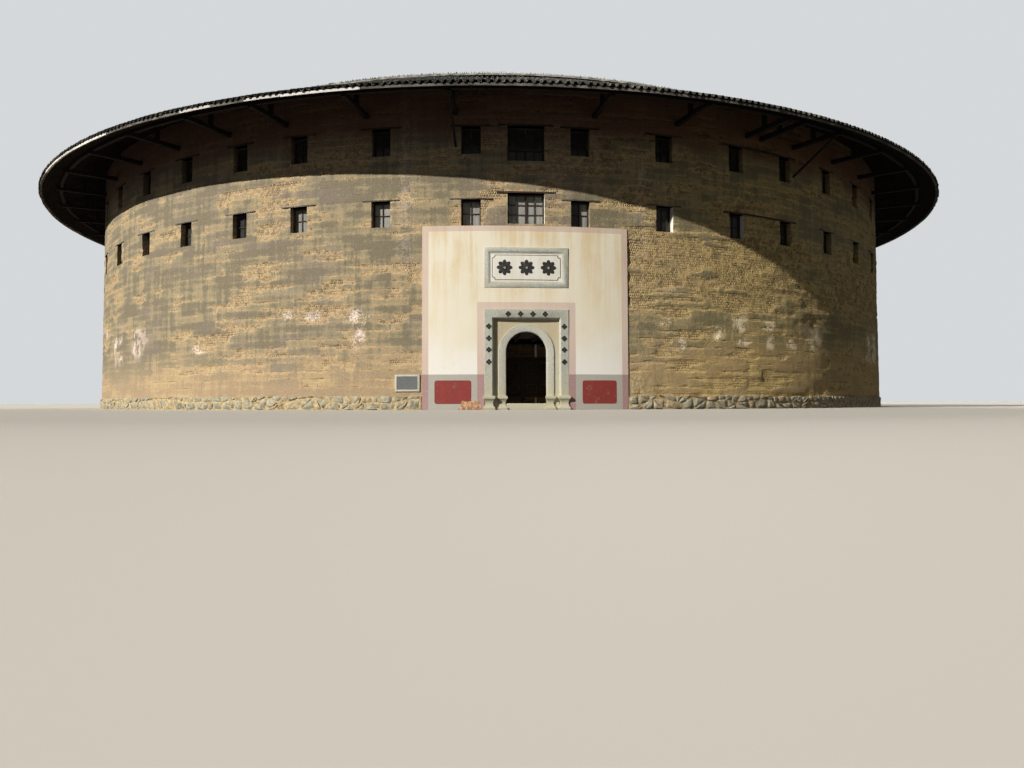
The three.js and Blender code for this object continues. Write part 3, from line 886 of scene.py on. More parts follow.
class Finish(Enum):
    """Every material of the house: its name, the record's slot that it belongs to, and how it is made."""

    EARTH = ("rammed_earth_board_formed", "earth", RammedEarth())
    CREAM = ("lime_plaster_cream_limewashed", "plaster", LimePlaster())
    PINK = ("lime_plaster_pink_limewashed", "plaster", plaster("#e0d2c7", "#d3bfae", "#dccbc2"))
    ROSE = ("lime_plaster_rose_limewashed", "plaster", plaster("#bf9c97", "#ab8479", "#c2a19d", scuffed=0.2))
    GREY = ("lime_plaster_grey_trowelled", "plaster", plaster("#c3bfb7", "#aea593", "#c7c4bd", scuffed=0.2))
    RED = ("brick_red_limewash_brushed", "plaster", Paint())
    WHITE = ("white_lime_plaster_polished", "white_plaster", plaster("#eeece4", "#d9d3c2", "#f0efe9", scuffed=0.05))
    GRANITE = ("granite_chiselled", "granite", DressedStone())
    PALE_STONE = ("granite_pale_chiselled", "granite", PALE_GRANITE)
    SPANDREL = ("lime_and_sand_render", "granite", SAND_RENDER)
    SLATE = ("slate_rubbed", "slate", RUBBED_SLATE)
    INK = ("lampblack_ink_brushed", "slate", Paint("#2a2824", "#7c7b70", 0.4))
    BROWN_LINE = ("brown_ochre_limewash_brushed", "slate", Paint("#6b4c33", "#a58f72", 0.3))
    RIVER = ("river_stone_water_worn", "river_stone", RiverStone())
    MORTAR = ("earth_and_lime_mortar_hand_packed", "river_stone", EarthMortar())
    RUBBLE = ("earth_and_brick_rubble_broken", "plaster", EarthMortar("#d3ab86", "#9c7354"))
    TIMBER = ("fir_sawn_smoke_darkened", "timber", SawnTimber())
    SILVERED = ("fir_sawn_sun_silvered", "timber", SawnTimber("#5c554c", "#342f29", "#868075", 0.4))
    # Painted highlight: near-white fir for the fascia boards that face the key light.
    PALE_TIMBER = ("fir_sawn_sun_bleached", "timber", SawnTimber("#d3ccc4", "#96908a", "#ece7e0", 0.6))
    SOLID_TIMBER = ("fir_adzed", "timber", BareTimber())
    FLOOR = ("fir_floor_boards_planed", "floor", FloorBoards())
    # Painted shade: a darker copy of the sawn fir for the boards and rafters under the roof.
    BOARDS = ("fir_boards_sawn", "boards", SawnTimber("#30241a", "#1a130e", "#40352a"))
    TILE = ("clay_roof_tile_fired_grey", "tile", ClayTile())
    RIDGE = ("lime_mortar_ridge_run", "tile", RidgeLime())
    GLASS = ("window_glass_drawn_dusty", "window_glass", DustyGlass())

    @property
    def slot(self) -> str:
        """The record's slot."""
        return self.value[1]

    @property
    def material(self) -> bpy.types.Material:
        """The material, built once."""
        name, _, coating = self.value
        return bpy.data.materials.get(name) or coating.make(name)


def publish(
    name: str, patch: Patch, finishes: Sequence[Finish], replaces: Sequence[str] = (), crease: float = 40
) -> bpy.types.Object:
    """Makes a Blender piece of a patch: welds its seams, scales it to the model, hangs it on the frame's root body and
    hides the nodes that it replaces.

    Args:
        name: The piece's name.
        patch: Its surface in real metres.
        finishes: The finishes that the patch's numbers count, the main one first.
        replaces: CAD nodes that the piece stands for.
        crease: Angle in degrees past which an edge stays sharp.

    Returns:
        The piece.
    """
    keys = np.round(patch.points / WELD).astype(np.int64)
    _, first, group = np.unique(keys, axis=0, return_index=True, return_inverse=True)
    used, corners = np.unique(group.ravel()[patch.corners], return_inverse=True)
    first = first[used]
    mesh = bpy.data.meshes.new(name)
    mesh.vertices.add(len(used))
    mesh.loops.add(len(corners))
    mesh.polygons.add(len(patch.sizes))
    for items, key, values, kind in (
        (mesh.vertices, "co", patch.points[first] * MODEL, np.float32),
        (mesh.loops, "vertex_index", corners, np.int32),
        (mesh.polygons, "loop_start", np.cumsum(patch.sizes) - patch.sizes, np.int32),
        (mesh.polygons, "material_index", patch.finish, np.int32),
    ):
        items.foreach_set(key, values.astype(kind).ravel())
    mesh.update(calc_edges=True)
    mesh.uv_layers.new(name="unrolled").data.foreach_set("uv", (patch.uv * MODEL).astype(np.float32).ravel())
    for mark, values in (("tone", patch.tone), ("wear", patch.wear)):
        mesh.attributes.new(mark, "FLOAT", "POINT").data.foreach_set("value", values[first].astype(np.float32))
    mesh.validate()
    mesh.shade_smooth()
    mesh.set_sharp_from_angle(angle=math.radians(crease))
    for finish in finishes:
        mesh.materials.append(finish.material)
    piece = bpy.data.objects.new(name, mesh)
    bpy.context.scene.collection.objects.link(piece)
    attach(piece, "root")
    finishes[0].slot
    if replaces:
        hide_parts(*replaces)
    log.info("%s: %d faces", name, len(mesh.polygons))
    return piece


def dress(nodes: dict[str, bpy.types.Object], finish: Finish, *names: str) -> None:
    """Gives CAD nodes that stay as they are one finish in every material slot.

    Args:
        nodes: The frame's nodes by name.
        finish: The finish.
        names: Starts of the names of the nodes to dress.
    """
    for name, node in nodes.items():
        if name.startswith(names):
            for held in node.material_slots:
                held.material = finish.material
            if not node.material_slots:
                node.data.materials.append(finish.material)
            log.info("%s: %s", name, finish.value[0])


@dataclass(frozen=True)
class Hole:
    """A straight-sided opening through the wall.

    Args:
        angle: Middle of the opening.
        half_width: Half its width.
        low: Foot.
        high: Head.
        lining: Finish number of its sides.
        inside: Half width and head on the inner face where they differ, as at the gate.
    """

    angle: float
    half_width: float
    low: float
    high: float
    lining: int = 0
    inside: Pair | None = None

    def edges(self, radius: float, inner: bool = False) -> list[float]:
        """Angles where its sides meet a face of that radius."""
        half = self.inside[0] if inner and self.inside else self.half_width
        turn = math.degrees(math.asin(half / radius))
        return [self.angle - turn, self.angle + turn]


def unmarked(angle: Array, height: Array) -> tuple[Array, Array]:
    """No tone and no wear anywhere."""
    return np.zeros(angle.shape), np.zeros(height.shape)


def between(marks: Array) -> Array:
    """Middles between neighbouring marks."""
    return (marks[1:] + marks[:-1]) / 2


@dataclass
class Shell:
    """A stretch of ring wall: a worked outer face, a plain inner face, and openings cut straight through.

    The outer face is the grid of angle and height pushed out to face(angle, height), and the inner face
    the same columns at back(height). Each opening's sides, sill and head are many-sided faces that join
    the two, and so are the stretch's two ends.

    Args:
        start: First angle.
        end: Last angle.
        foot: Height of its foot.
        tops: Height of its top, outside and inside.
        face: Radius of the outer face at an angle and height.
        back: Radius of the inner face at a height.
        holes: Its openings.
        steps: Widest cell in degrees, and tallest cell outside and inside in metres.
        marks: Tone and wear of the outer face at an angle and height.
        extra: More angles and heights where cells have to end.
        finish: Finish number of a cell of the outer face by its middle, or None for the first finish.
        recess: y of the back of the recess in front of the narrower passage.
    """

    start: float
    end: float
    foot: float
    tops: Pair
    face: Callable[[Array, Array], Array]
    back: Callable[[Array], Array]
    holes: list[Hole]
    steps: Triple
    marks: Callable[[Array, Array], tuple[Array, Array]] = unmarked
    extra: tuple[Sequence[float], Sequence[float]] = ((), ())
    finish: Callable[[Array, Array], Array] | None = None
    recess: float | None = None

    def build(self) -> Patch:
        """Builds the stretch.

        Returns:
            The closed patch.
        """
        radius = float(self.face(np.array(self.start), np.array(self.foot)))
        inner_radius = float(self.back(np.array(self.foot)))
        fixed = [self.start, self.end, *self.extra[0]]
        marks = [
            np.unique(np.round([*fixed, *(edge for hole in self.holes for edge in hole.edges(*side))], 6))
            for side in ((radius,), (inner_radius, True))
        ]
        counts = np.maximum(1, np.ceil(np.diff(marks[0]) / self.steps[0] - SLACK)).astype(int)
        share = np.concatenate([np.arange(c) / c + i for i, c in enumerate(counts)] + [[len(counts)]])
        angles, inner_angles = (np.interp(share, np.arange(len(mark)), mark) for mark in marks)
        lows = [hole.low for hole in self.holes if hole.low > self.foot]
        highs = [min(hole.high, self.tops[0]) for hole in self.holes]
        inner_highs = [min(hole.inside[1] if hole.inside else hole.high, self.tops[1]) for hole in self.holes]
        heights = lines([self.foot, self.tops[0], *lows, *highs, *self.extra[1]], self.steps[1])
        inner_heights = lines([self.foot, self.tops[1], *lows, *inner_highs], self.steps[2])

        middle, middle_z, inner_z = between(angles), between(heights), between(inner_heights)
        keep, inner_keep = (np.ones((len(z), len(middle)), bool) for z in (middle_z, inner_z))
        spans = []
        for hole, high in zip(self.holes, inner_highs):
            left, right = hole.edges(radius)
            across = (middle > left) & (middle < right)
            keep[np.ix_((middle_z > hole.low) & (middle_z < hole.high), across)] = False
            inner_keep[np.ix_((inner_z > hole.low) & (inner_z < high), across)] = False
            spans.append(np.flatnonzero(across)[[0, -1]] + [0, 1])
        a, z = np.meshgrid(angles, heights)
        outer = polar(a, self.face(a, z), z)
        finishes = 0 if self.finish is None else self.finish(*np.meshgrid(middle, middle_z))
        inner_a, inner_z = np.meshgrid(inner_angles, inner_heights)
        inner = polar(inner_a, self.back(inner_z), inner_z)
        inner_uv = places(np.radians(inner_a) * INNER_FACE, inner_z)
        parts = [
            grid(outer, places(np.radians(a) * WALL_RADIUS, z), finishes, *self.marks(a, z), keep),
            grid(inner[:, ::-1], inner_uv[:, ::-1], 0, 0.0, 0.25, inner_keep[:, ::-1]),
            self.strip(inner[0], outer[0], keep[0]),
            self.strip(outer[-1], inner[-1], keep[-1]),
            self.side(outer[:, 0], inner[:, 0]),
            self.side(inner[:, -1], outer[:, -1]),
        ]
        for hole, high, inner_high, (j0, j1) in zip(self.holes, highs, inner_highs, spans):
            foot = max(hole.low, self.foot)
            i0, i1 = (int(np.argmin(abs(heights - v))) for v in (foot, high))
            k0, k1 = (int(np.argmin(abs(inner_heights - v))) for v in (foot, inner_high))
            left, right, head = outer[i0 : i1 + 1, j0], outer[i0 : i1 + 1, j1], outer[i1, j0 : j1 + 1]
            if hole.inside and self.recess is not None:
                parts += self.stepped(hole, high, inner_high, left, right, head)
                left = places(-hole.inside[0], self.recess, [self.foot, inner_high])
                right = left * [-1, 1, 1]
                head = np.stack([left[1], right[1]])
            rims = [(inner[k0 : k1 + 1, j0], left), (right, inner[k0 : k1 + 1, j1])]
            if hole.high <= self.tops[0]:
                rims.append((head[::-1], inner[k1, j0 : j1 + 1][::-1]))
            if hole.low > self.foot:
                rims.append((outer[i0, j0 : j1 + 1], inner[k0, j0 : j1 + 1]))
            parts += [self.side(*rim, hole.lining) for rim in rims]
        return merge(*parts)

    def strip(self, first: Array, last: Array, keep: Array) -> Patch:
        """A level band of quads between two rows of points, for the top and the foot."""
        points = np.stack([first, last])
        return grid(points, points[..., :2], 0, 0.0, 0.3, keep[None])

    def side(self, first: Array, last: Array, finish: int = 0) -> Patch:
        """A flat many-sided face along the first points and back along the last.

        It is unrolled by its depth and height, or by its width and depth where it is level.
        """
        points = np.concatenate([first, last[::-1]])
        across = np.hypot(points[:, 0], points[:, 1])
        turn = np.arctan2(points[:, 0], -points[:, 1]) * OPENING_SIDE
        level = np.ptp(points[:, 2]) < 0.05
        uv = places(turn, across) if level else places(across, points[:, 2])
        return cap(points, uv, finish, 0.0, 0.35)

    def stepped(self, hole: Hole, top: float, low_top: float, left: Array, right: Array, head: Array) -> list[Patch]:
        """The recess in front of a narrower passage.

        Args:
            hole: The opening.
            top: Head of the recess, or the shell's top where that is lower.
            low_top: Head of the passage, or the shell's top where that is lower.
            left: Points up the left edge on the outer face.
            right: Points up its right edge.
            head: Points along its head.

        Returns:
            Its two sides, the back round the passage and, where there is wall over it, its head.
        """
        wide, narrow = hole.half_width, hole.inside[0]
        heights = np.unique([self.foot, low_top, top])
        x, z = np.meshgrid([-wide, -narrow, narrow, wide], heights)
        keep = np.array([(True, low > low_top - SLACK, True) for low in heights[:-1]])
        back_left = places(-wide, self.recess, [self.foot, top])
        back_right = back_left * [-1, 1, 1]
        parts = [
            self.side(back_left, left),
            self.side(right, back_right),
            grid(places(x, self.recess, z), places(x, z), 0, 0.0, 0.35, keep),
        ]
        if top < self.tops[0]:
            parts.append(self.side(head[::-1], np.stack([back_right[1], back_left[1]])))
        return parts


@dataclass
class WindowPlan:
    """Where the windows are: two rows over the gate's storeys, listed near the gate and then evenly."""

    near: tuple[float, ...] = (5.05, 13.45, 21.8, 28.75, 36.55, 44.5)
    more: int = 16
    width: float = 0.9
    middle_width: float = 1.7
    third: Pair = (8.36, 9.57)
    fourth: Pair = (11.65, 12.91)
    middle_third: Pair = (8.45, 9.86)
    middle_fourth: Pair = (11.34, 12.95)
    plastered: tuple[float, ...] = (13.45, 21.8)

    def angles(self) -> Array:
        """Angles of all the windows of a row but the middle one, both ways from the gate."""
        step = (180 - self.near[-1]) / (self.more + 0.5)
        right = [*self.near, *(self.near[-1] + step * (i + 1) for i in range(self.more))]
        return np.array([-a for a in reversed(right)] + right)

    def holes(self, start: float, end: float) -> list[Hole]:
        """The openings between two angles; some of the third storey's have pale plastered sides."""
        found = []
        for angle in self.angles():
            if start < angle < end:
                pale = int(round(float(angle), 2) in self.plastered)
                found.append(Hole(float(angle), self.width / 2, *self.third, lining=pale))
                found.append(Hole(float(angle), self.width / 2, *self.fourth))
        if start < 0 < end:
            found.append(Hole(0, self.middle_width / 2, *self.middle_third, lining=1))
            found.append(Hole(0, self.middle_width / 2, *self.middle_fourth))
        return found


@dataclass
class EarthWall:
    """The rammed-earth ring wall, which leans in as it rises and is worn by the weather."""

    windows: WindowPlan
    top_radius: float = 28.47
    base_inner: float = 26.8
    top_inner: float = 27.5
    height: float = 15.0
    foot: float = 0.6206
    tops: Pair = (15.02, 15.46)
    lift: float = 0.37
    lifts: int = 60
    boards_round: int = 102
    gate: Hole = field(default_factory=lambda: Hole(0, 1.92, 0, 4.5506, inside=(1.2, 3.75)))
    recess: float = -28.1494
    salt_spots: tuple[tuple[float, float, float, float], ...] = (
        (13.4, 4.05, 0.6, 0.2), (15.1, 3.1, 0.5, 0.35), (19.2, 3.66, 0.6, 0.42), (22.2, 4.1, 0.95, 0.5),
        (22.4, 3.25, 1.0, 0.2), (26.0, 4.15, 0.9, 0.25), (26.2, 3.3, 0.6, 0.35), (29.4, 3.25, 0.8, 0.25),
        (33.5, 3.5, 1.3, 0.6), (-20.2, 4.4, 0.8, 0.25), (-15.6, 4.3, 1.2, 0.35), (-15.5, 3.3, 0.5, 0.5),
        (-22.9, 4.5, 0.5, 0.2), (-34.0, 3.0, 1.0, 0.25),
    )
    stretches: tuple[tuple[str, float, float, tuple[str, ...]], ...] = (
        ("wall_front", -25.0, 25.0, ("wall_over_door", "wall_front_left", "wall_front_right")),
        ("wall_left_side_front_face", -75.0, -25.0, ("wall_left_side_front",)),
        ("wall_right_side_front_face", 25.0, 75.0, ("wall_right_side_front",)),
        ("wall_left_side_back_face", -130.0, -75.0, ("wall_left_side_back",)),
        ("wall_right_side_back_face", 75.0, 130.0, ("wall_right_side_back",)),
        ("wall_left_back_face", -180.0, -130.0, ("wall_left_back_side", "wall_left_back")),
        ("wall_right_back_face", 130.0, 180.0, ("wall_right_back_side", "wall_right_back")),
    )

    def plain(self, height: Array) -> Array:
        """Radius of the outer face before any wear."""
        return WALL_RADIUS - (WALL_RADIUS - self.top_radius) * height / self.height

    def inner(self, height: Array) -> Array:
        """Radius of the inner face."""
        return self.base_inner + (self.top_inner - self.base_inner) * height / self.height

    def wear(self, angle: Array, height: Array) -> Array:
        """How far the weather has taken the skin, 0 to 1.

        Lumps a few metres long and level bands are summed. Right of the gate the band below the third
        storey's windows is worn most; left of it the skin lasts from there up to the eave. Behind, the
        same two halves repeat as the noise runs on.
        """
        turn, sine = turns(angle), np.sin(np.radians(angle))
        lumps, bands = noise(turn, height / 0.65, 140, 11, 3), noise(turn, height / 0.5, 60, 17)
        broad = noise(turn, height / 5, 18, 23)
        right, left = (ramp(side, 0.02, 0.2) * ramp(np.abs(angle), 6, 10) for side in (sine, -sine))
        pitted = ramp(height, 4.4, 5.6) * ramp(height, 9.2, 7.6)
        grey_band = ramp(height, 2.5, 3.2) * ramp(height, 5.0, 4.2)
        low = ramp(height, 3.2, 2.0)
        value = 0.38 + (lumps - 0.5) * 0.9 + (bands - 0.5) * 0.7 + (broad - 0.5) * 0.3
        value += right * (0.32 * pitted - 0.12 * grey_band + 0.2 * low) - left * 0.08 * ramp(height, 5.4, 7.4)
        value -= 0.12 * low + 0.05 * ramp(height, 12.0, 12.8)
        return np.clip(value + self.board_value(angle, height) * 0.3, 0, 1)

    def board_value(self, angle: Array, height: Array) -> Array:
        """A value from -0.5 to 0.5 for each length of formwork, whose ends shift by half a length each lift."""
        lift = np.clip(np.floor(np.asarray(height) / self.lift).astype(int), 0, self.lifts - 1)
        board = np.floor(turns(angle) * self.boards_round + 0.5 * (lift % 2)).astype(int) % self.boards_round
        return np.random.default_rng(43).random((self.lifts, self.boards_round))[lift, board] - 0.5

    def salts(self, angle: Array, height: Array) -> Array:
        """Where salts whiten the wall: oval patches above head height, and two washed upright lines by the gate.

        A patch's strength falls from 1 to 0 as the distance from its middle, in its own half sizes and
        roughened by noise, goes from 0.6 to 1.3. Behind, patches are strewn by noise in the same band.
        """
        turn = turns(angle)
        rough = noise(turn, height / 0.35, 360, 31) - 0.5
        total = np.zeros(np.shape(rough))
        for middle, level, half_turn, half_height in self.salt_spots:
            far = np.hypot((angle - middle) / half_turn, (height - level) / half_height) + rough * 0.9
            total = np.maximum(total, ramp(far, 1.3, 0.6))
        strewn = ramp(noise(turn, height / 1.1, 110, 37), 0.6, 0.7) * ramp(height, 2.4, 3.0)
        total = np.maximum(total, strewn * ramp(height, 5.2, 4.2) * ramp(np.abs(angle), 40, 50))
        washed = np.exp(-(((np.abs(angle) - 11.1) / 0.55) ** 2)) * 0.25 * ramp(height, 5.0, 8.0)
        return np.clip(total + washed, 0, 1)

    def face(self, angle: Array, height: Array) -> Array:
        """Radius of the worn outer face: plain, less slow waves, the lifts' small steps and what has worn off."""
        angle, height = np.asarray(angle, float), np.asarray(height, float)
        turn = turns(angle)
        waves, rough = noise(turn, height / 4, 40, 41) - 0.5, noise(turn, height / 0.36, 500, 47) - 0.5
        steps = self.board_value(angle, height)
        lost = 0.04 * ramp(self.wear(angle, height) + rough * 0.6, 0.35, 0.95)
        return self.plain(height) + 0.015 + waves * 0.012 - steps * 0.02 - lost - np.abs(rough) * 0.014

    def marks(self, angle: Array, height: Array) -> tuple[Array, Array]:
        """Tone and wear for the finish."""
        return self.salts(angle, height), self.wear(angle, height)

    def build(self) -> None:
        """Builds the wall in seven stretches, the front one over the gate."""
        for name, start, end, nodes in self.stretches:
            at_gate = start < 0 < end
            shell = Shell(
                start, end, self.foot, self.tops, self.face, self.inner,
                self.windows.holes(start, end) + [self.gate] * at_gate,
                (0.36, self.lift / 3, 1.6), self.marks, recess=self.recess if at_gate else None,
            )
            publish(name, shell.build(), (Finish.EARTH, Finish.WHITE), nodes, crease=50)


@dataclass
class Footing:
    """Rough stones bedded in mortar at the foot of the wall: big ones set on end, and small ones over them."""

    wall: EarthWall
    mortar: float = 28.645
    inner: float = 26.75
    height: float = 0.6194
    stone_top: float = 0.66
    proud: float = 0.08
    panel_angle: float = 9.56
    step: float = 0.04
    courses: tuple[Pair, ...] = ((0.64, 0.75), (0.46, 0.5))

    def bed(self, angle: Array, height: Array) -> Array:
        """Radius of the mortar, which is lumpy outside the panel and plain behind it."""
        lumps = noise(turns(angle), np.asarray(height, float) / 0.2, 900, 53) - 0.5
        behind = ramp(np.abs(angle), self.panel_angle + self.step, self.panel_angle)
        return (self.mortar + lumps * 0.03) * (1 - behind) + (self.wall.plain(0) - 0.002) * behind

    def build(self) -> None:
        """Builds the mortar of the front and of each quarter behind, and the stones of each quarter."""
        near, far = self.panel_angle, self.panel_angle + self.step
        for part, start, end in (("front", -90.0, 90.0), ("back_right", 90.0, 180.0), ("back_left", -180.0, -90.0)):
            front = part == "front"
            shell = Shell(
                start, end, 0.0, (self.height, self.height), self.bed, lambda height: self.inner + 0 * height,
                [self.wall.gate] * front, (0.4, 0.16, 0.7), extra=([-far, -near, near, far] if front else (), ()),
                recess=self.wall.recess if front else None,
            )
            nodes = [f"footing_{place}" for place in (("front_left", "front_right") if front else (part,))]
            publish(f"footing_mortar_{part}", shell.build(), (Finish.MORTAR,), nodes, crease=60)
        edge = self.panel_angle + 0.06
        quarters = (
            ("front_right", edge, 90.0), ("back_right", 90.0, 180.0),
            ("back_left", 180.0, 270.0), ("front_left", 270.0, 360.0 - edge),
        )
        for seed, (part, start, end) in enumerate(quarters):
            stones = merge(*(self.course(start, end, seed, number) for number in (0, 1)))
            publish(f"footing_stones_{part}", stones, (Finish.RIVER,), crease=50)

    def course(self, start: float, end: float, seed: int, number: int) -> Patch:
        """One course of stones between two angles.

        A row of four-cornered cells with jogged corners is laid out between the ground or the wavy line
        that parts the courses and that line or the wall, and a share of them is cut along a diagonal, the
        fourth corner then lying on the cut. Each cell is drawn in for its mortar, and its grid of s and t
        is bent to s√(1 - 0.12t²) and t√(1 - 0.12s²), which rounds the corners. The stone swells by
        ((1 - s²)(1 - t²))^0.13, tipped to one side.
        """
        length, cut_share = self.courses[number]
        rng = np.random.default_rng(100 + 10 * seed + number)
        count = int(math.radians(end - start) * self.mortar / length)
        step = (end - start) / count
        nodes = start + (np.arange(count + 1)[None] + rng.uniform(-0.38, 0.38, (2, count + 1))) * step
        nodes[:, 0], nodes[:, -1] = start, end
        split = 0.43 + (noise((nodes + 360) / 360 % 1, 0 * nodes, 200, 59, 1) - 0.5) * 0.42
        z = np.stack([np.full(count + 1, -0.02), split[1]] if number == 0 else [split[0], np.full(count + 1, 0.65)])
        lattice = places(nodes, np.clip(z + rng.uniform(-0.04, 0.04, (2, count + 1)), 0.0, self.stone_top))
        a, b, c, d = lattice[0, :-1], lattice[0, 1:], lattice[1, 1:], lattice[1, :-1]
        rising, falling = (a + c) / 2, (b + d) / 2
        choice = rng.random(count)
        cut, up = choice < cut_share, choice < cut_share / 2
        cells = np.concatenate([
            np.stack(corners, axis=1)[chosen]
            for corners, chosen in (
                ((a, b, c, d), ~cut), ((a, b, c, rising), up), ((a, rising, c, d), up),
                ((a, b, falling, d), cut & ~up), ((b, c, d, falling), cut & ~up),
            )
        ])
        total = len(cells)
        middle = cells.mean(axis=1, keepdims=True)
        cells = middle + (cells - middle) * rng.uniform(0.88, 0.96, (total, 1, 1))
        knots = np.array([-1, -0.72, -0.25, 0.25, 0.72, 1])
        s, t = np.meshgrid(knots, knots)
        across, rise = s * np.sqrt(1 - 0.12 * t * t), t * np.sqrt(1 - 0.12 * s * s)
        signs = ((-1, -1), (1, -1), (1, 1), (-1, 1))
        weights = np.stack([(1 + i * across) * (1 + j * rise) for i, j in signs]) / 4
        flat = np.einsum("krc,nkd->nrcd", weights, cells)
        tip = 1 + rng.uniform(-0.4, 0.4, (total, 1, 1)) * s + rng.uniform(-0.4, 0.4, (total, 1, 1)) * t
        swell = (np.clip((1 - s * s) * (1 - t * t), 0, 1) ** 0.13)[None] * tip * rng.uniform(0.55, 0.9, (total, 1, 1))
        base = self.mortar - 0.02
        points = polar(flat[..., 0], base + self.proud * swell, np.clip(flat[..., 1], 0.002, self.stone_top))
        uv = places(np.radians(flat[..., 0]) * base, flat[..., 1])
        return merge(*(grid(*stone) for stone in zip(points, uv, [0] * total, rng.random(total))))


class Slope(Enum):
    """The two sides of the roof."""

    OUTER = "outer"
    INNER = "inner"


@dataclass
class TiledRoof:
    """The ring roof: tiles on boards and rafters, a fascia at the outer eave and a mortared ridge."""

    eave: float = 32.2
    eave_top: float = 13.52
    ridge: float = 24.75
    inner_eave: float = 18.9
    pitch: float = 0.451
    outer_rolls: int = 640
    inner_rolls: int = 480
    board_drop: float = 0.15
    board_thick: float = 0.03
    rafter_foot: float = 0.28
    ridge_top: float = 17.045
    ridge_tile_count: int = 1500
    rafter: Pair = (0.075, 0.094)
    outer_rafters: int = 128
    inner_rafters: int = 100
    fascia_foot: float = 13.28
    fascia_front: float = 32.12
    fascia_boards: int = 28
    fascia_play: float = 0.015
    # Angles of the eave whose fascia boards are painted pale: a painted highlight where they face the key light.
    bleached: tuple[Pair, ...] = ((304.0, 322.4), (329.6, 334.5), (338.0, 346.3))
    section: tuple[Pair, ...] = (
        (0.0, 0.118), (0.13, 0.11), (0.225, 0.088), (0.25, 0.066), (0.31, 0.022), (0.4, 0.005),
        (0.5, 0.0), (0.6, 0.005), (0.69, 0.022), (0.75, 0.066), (0.775, 0.088), (0.87, 0.11),
    )
    heap: tuple[Pair, ...] = ((0.42, -0.14), (0.34, -0.05), (0.27, 0.02), (0.2, 0.05), (0.1, 0.06))
    heap_top: float = 0.065

    def top(self, radius: Array | float) -> Array:
        """Height of the rolls' crests at that radius."""
        return self.eave_top + (self.eave - self.ridge - np.abs(np.asarray(radius) - self.ridge)) * self.pitch

    def tiles(self, slope: Slope, start: float) -> Patch:
        """A quarter of one slope: the section of rolls and pans carried down the slope, with hollow ends at the eave.

        Each roll wanders a little sideways and up and down as it goes, and the whole slope sags between
        rafters that have settled.
        """
        outer = slope is Slope.OUTER
        rolls = (self.outer_rolls if outer else self.inner_rolls) // 4
        share, drop = np.array(self.section).T
        roll = np.append(np.repeat(np.arange(rolls), len(share)), 0)
        position = np.append(roll[:-1] + np.tile(share, rolls), rolls)
        drops = np.append(np.tile(drop, rolls), drop[0])
        step = 90 / rolls
        eave, out, lengths = (self.eave, -1, 9) if outer else (self.inner_eave, 1, 7)
        lip = eave + out * np.array([0.3, 0.005, 0.0])
        slope_radii = np.linspace(eave + out * 0.1, self.ridge - out * 0.12, lengths)
        radii, under = np.concatenate([lip, slope_radii]), np.append([0.034, 0.024], np.zeros(lengths + 1))
        if not outer:
            radii, under = radii[::-1], under[::-1]
        turn = (start + position * step) / 360
        row = np.arange(len(radii))[:, None]
        seed = int(np.random.default_rng(int(start) + (3 if outer else 7)).integers(0, 99))
        side, rise = noise(turn, row * 0.7, 720, 61 + seed) - 0.5, noise(turn, row * 0.5, 1280, 67, 1) - 0.5
        sag = noise(turn, row * 0.35, 30, 71) - 0.5
        angle = start + (position + side * 0.22 * (np.abs(position - np.round(position / rolls) * rolls) > 0.6)) * step
        uneven = np.random.default_rng(73).random(rolls + 1)[roll] * 0.05
        reach = radii[:, None] + out * uneven * (np.abs(radii - eave) < 0.02)[:, None]
        height = self.top(reach) - drops - under[:, None] + rise * 0.02 + sag * 0.09 * (row > 2)
        uv = places((start / step + position) * 0.31, (reach - eave) * out * 1.1)
        return grid(polar(angle, reach, height), uv)

    def boards(self, slope: Slope, start: float) -> Patch:
        """The boarding under a quarter of one slope: a thin slab that follows the pitch, laid between rafters."""
        outer = slope is Slope.OUTER
        low, under = self.eave - 0.27 if outer else self.inner_eave + 0.2, self.board_drop + self.board_thick
        outline = np.array([(low, under), (low, self.board_drop), (self.ridge, self.board_drop), (self.ridge, under)])
        radius, drop = outline[:: 1 if outer else -1].T
        return ring_beam(start, start + 90, places(radius, self.top(radius) - drop), 45)

    def rafters(self, slope: Slope, start: float) -> Patch:
        """Rafters straight down the slope under the boards."""
        far, near, count = (
            (self.eave - 0.24, self.ridge + 0.05, self.outer_rafters) if slope is Slope.OUTER
            else (self.inner_eave + 0.12, self.ridge - 0.05, self.inner_rafters)
        )
        angles = start + (np.arange(count) + 0.5) * 90 / count
        middle = (self.board_drop + self.board_thick + self.rafter_foot) / 2
        ends = [polar(angles, r, self.top(r) - middle) for r in (far, near)]
        return bars(*ends, polar(angles + 90, 1, 0), *self.rafter, 0.008, seed=int(start) + 5)

    def fascia(self, start: float) -> Patch:
        """Weathered boards along the outer eave, each a little off its neighbours; a few, where the eave faces the key
        light, are painted pale as a painted highlight.

        Behind each, a fillet rises with the pitch to the pans, so that no light passes under the rolls.
        """
        rng = np.random.default_rng(int(start) + 83)
        edges = np.linspace(start, start + 90, self.fascia_boards + 1)
        outline = np.array([(0, 0), (-0.004, 0.11), (-0.12, 0.162), (-0.12, 0.05), (-0.035, 0)])
        patches = []
        for first, last in zip(edges[:-1], edges[1:]):
            foot = self.fascia_foot + rng.uniform(0, self.fascia_play)
            front = self.fascia_front - rng.uniform(0, self.fascia_play)
            # pale marks a board of the painted highlight.
            pale = int(any(left < (first + last) / 2 < right for left, right in self.bleached))
            profile = outline + [front, foot]
            patches.append(ring_beam(first + 0.012, last - 0.012, profile, 2, pale, float(rng.random())))
        return merge(*patches)

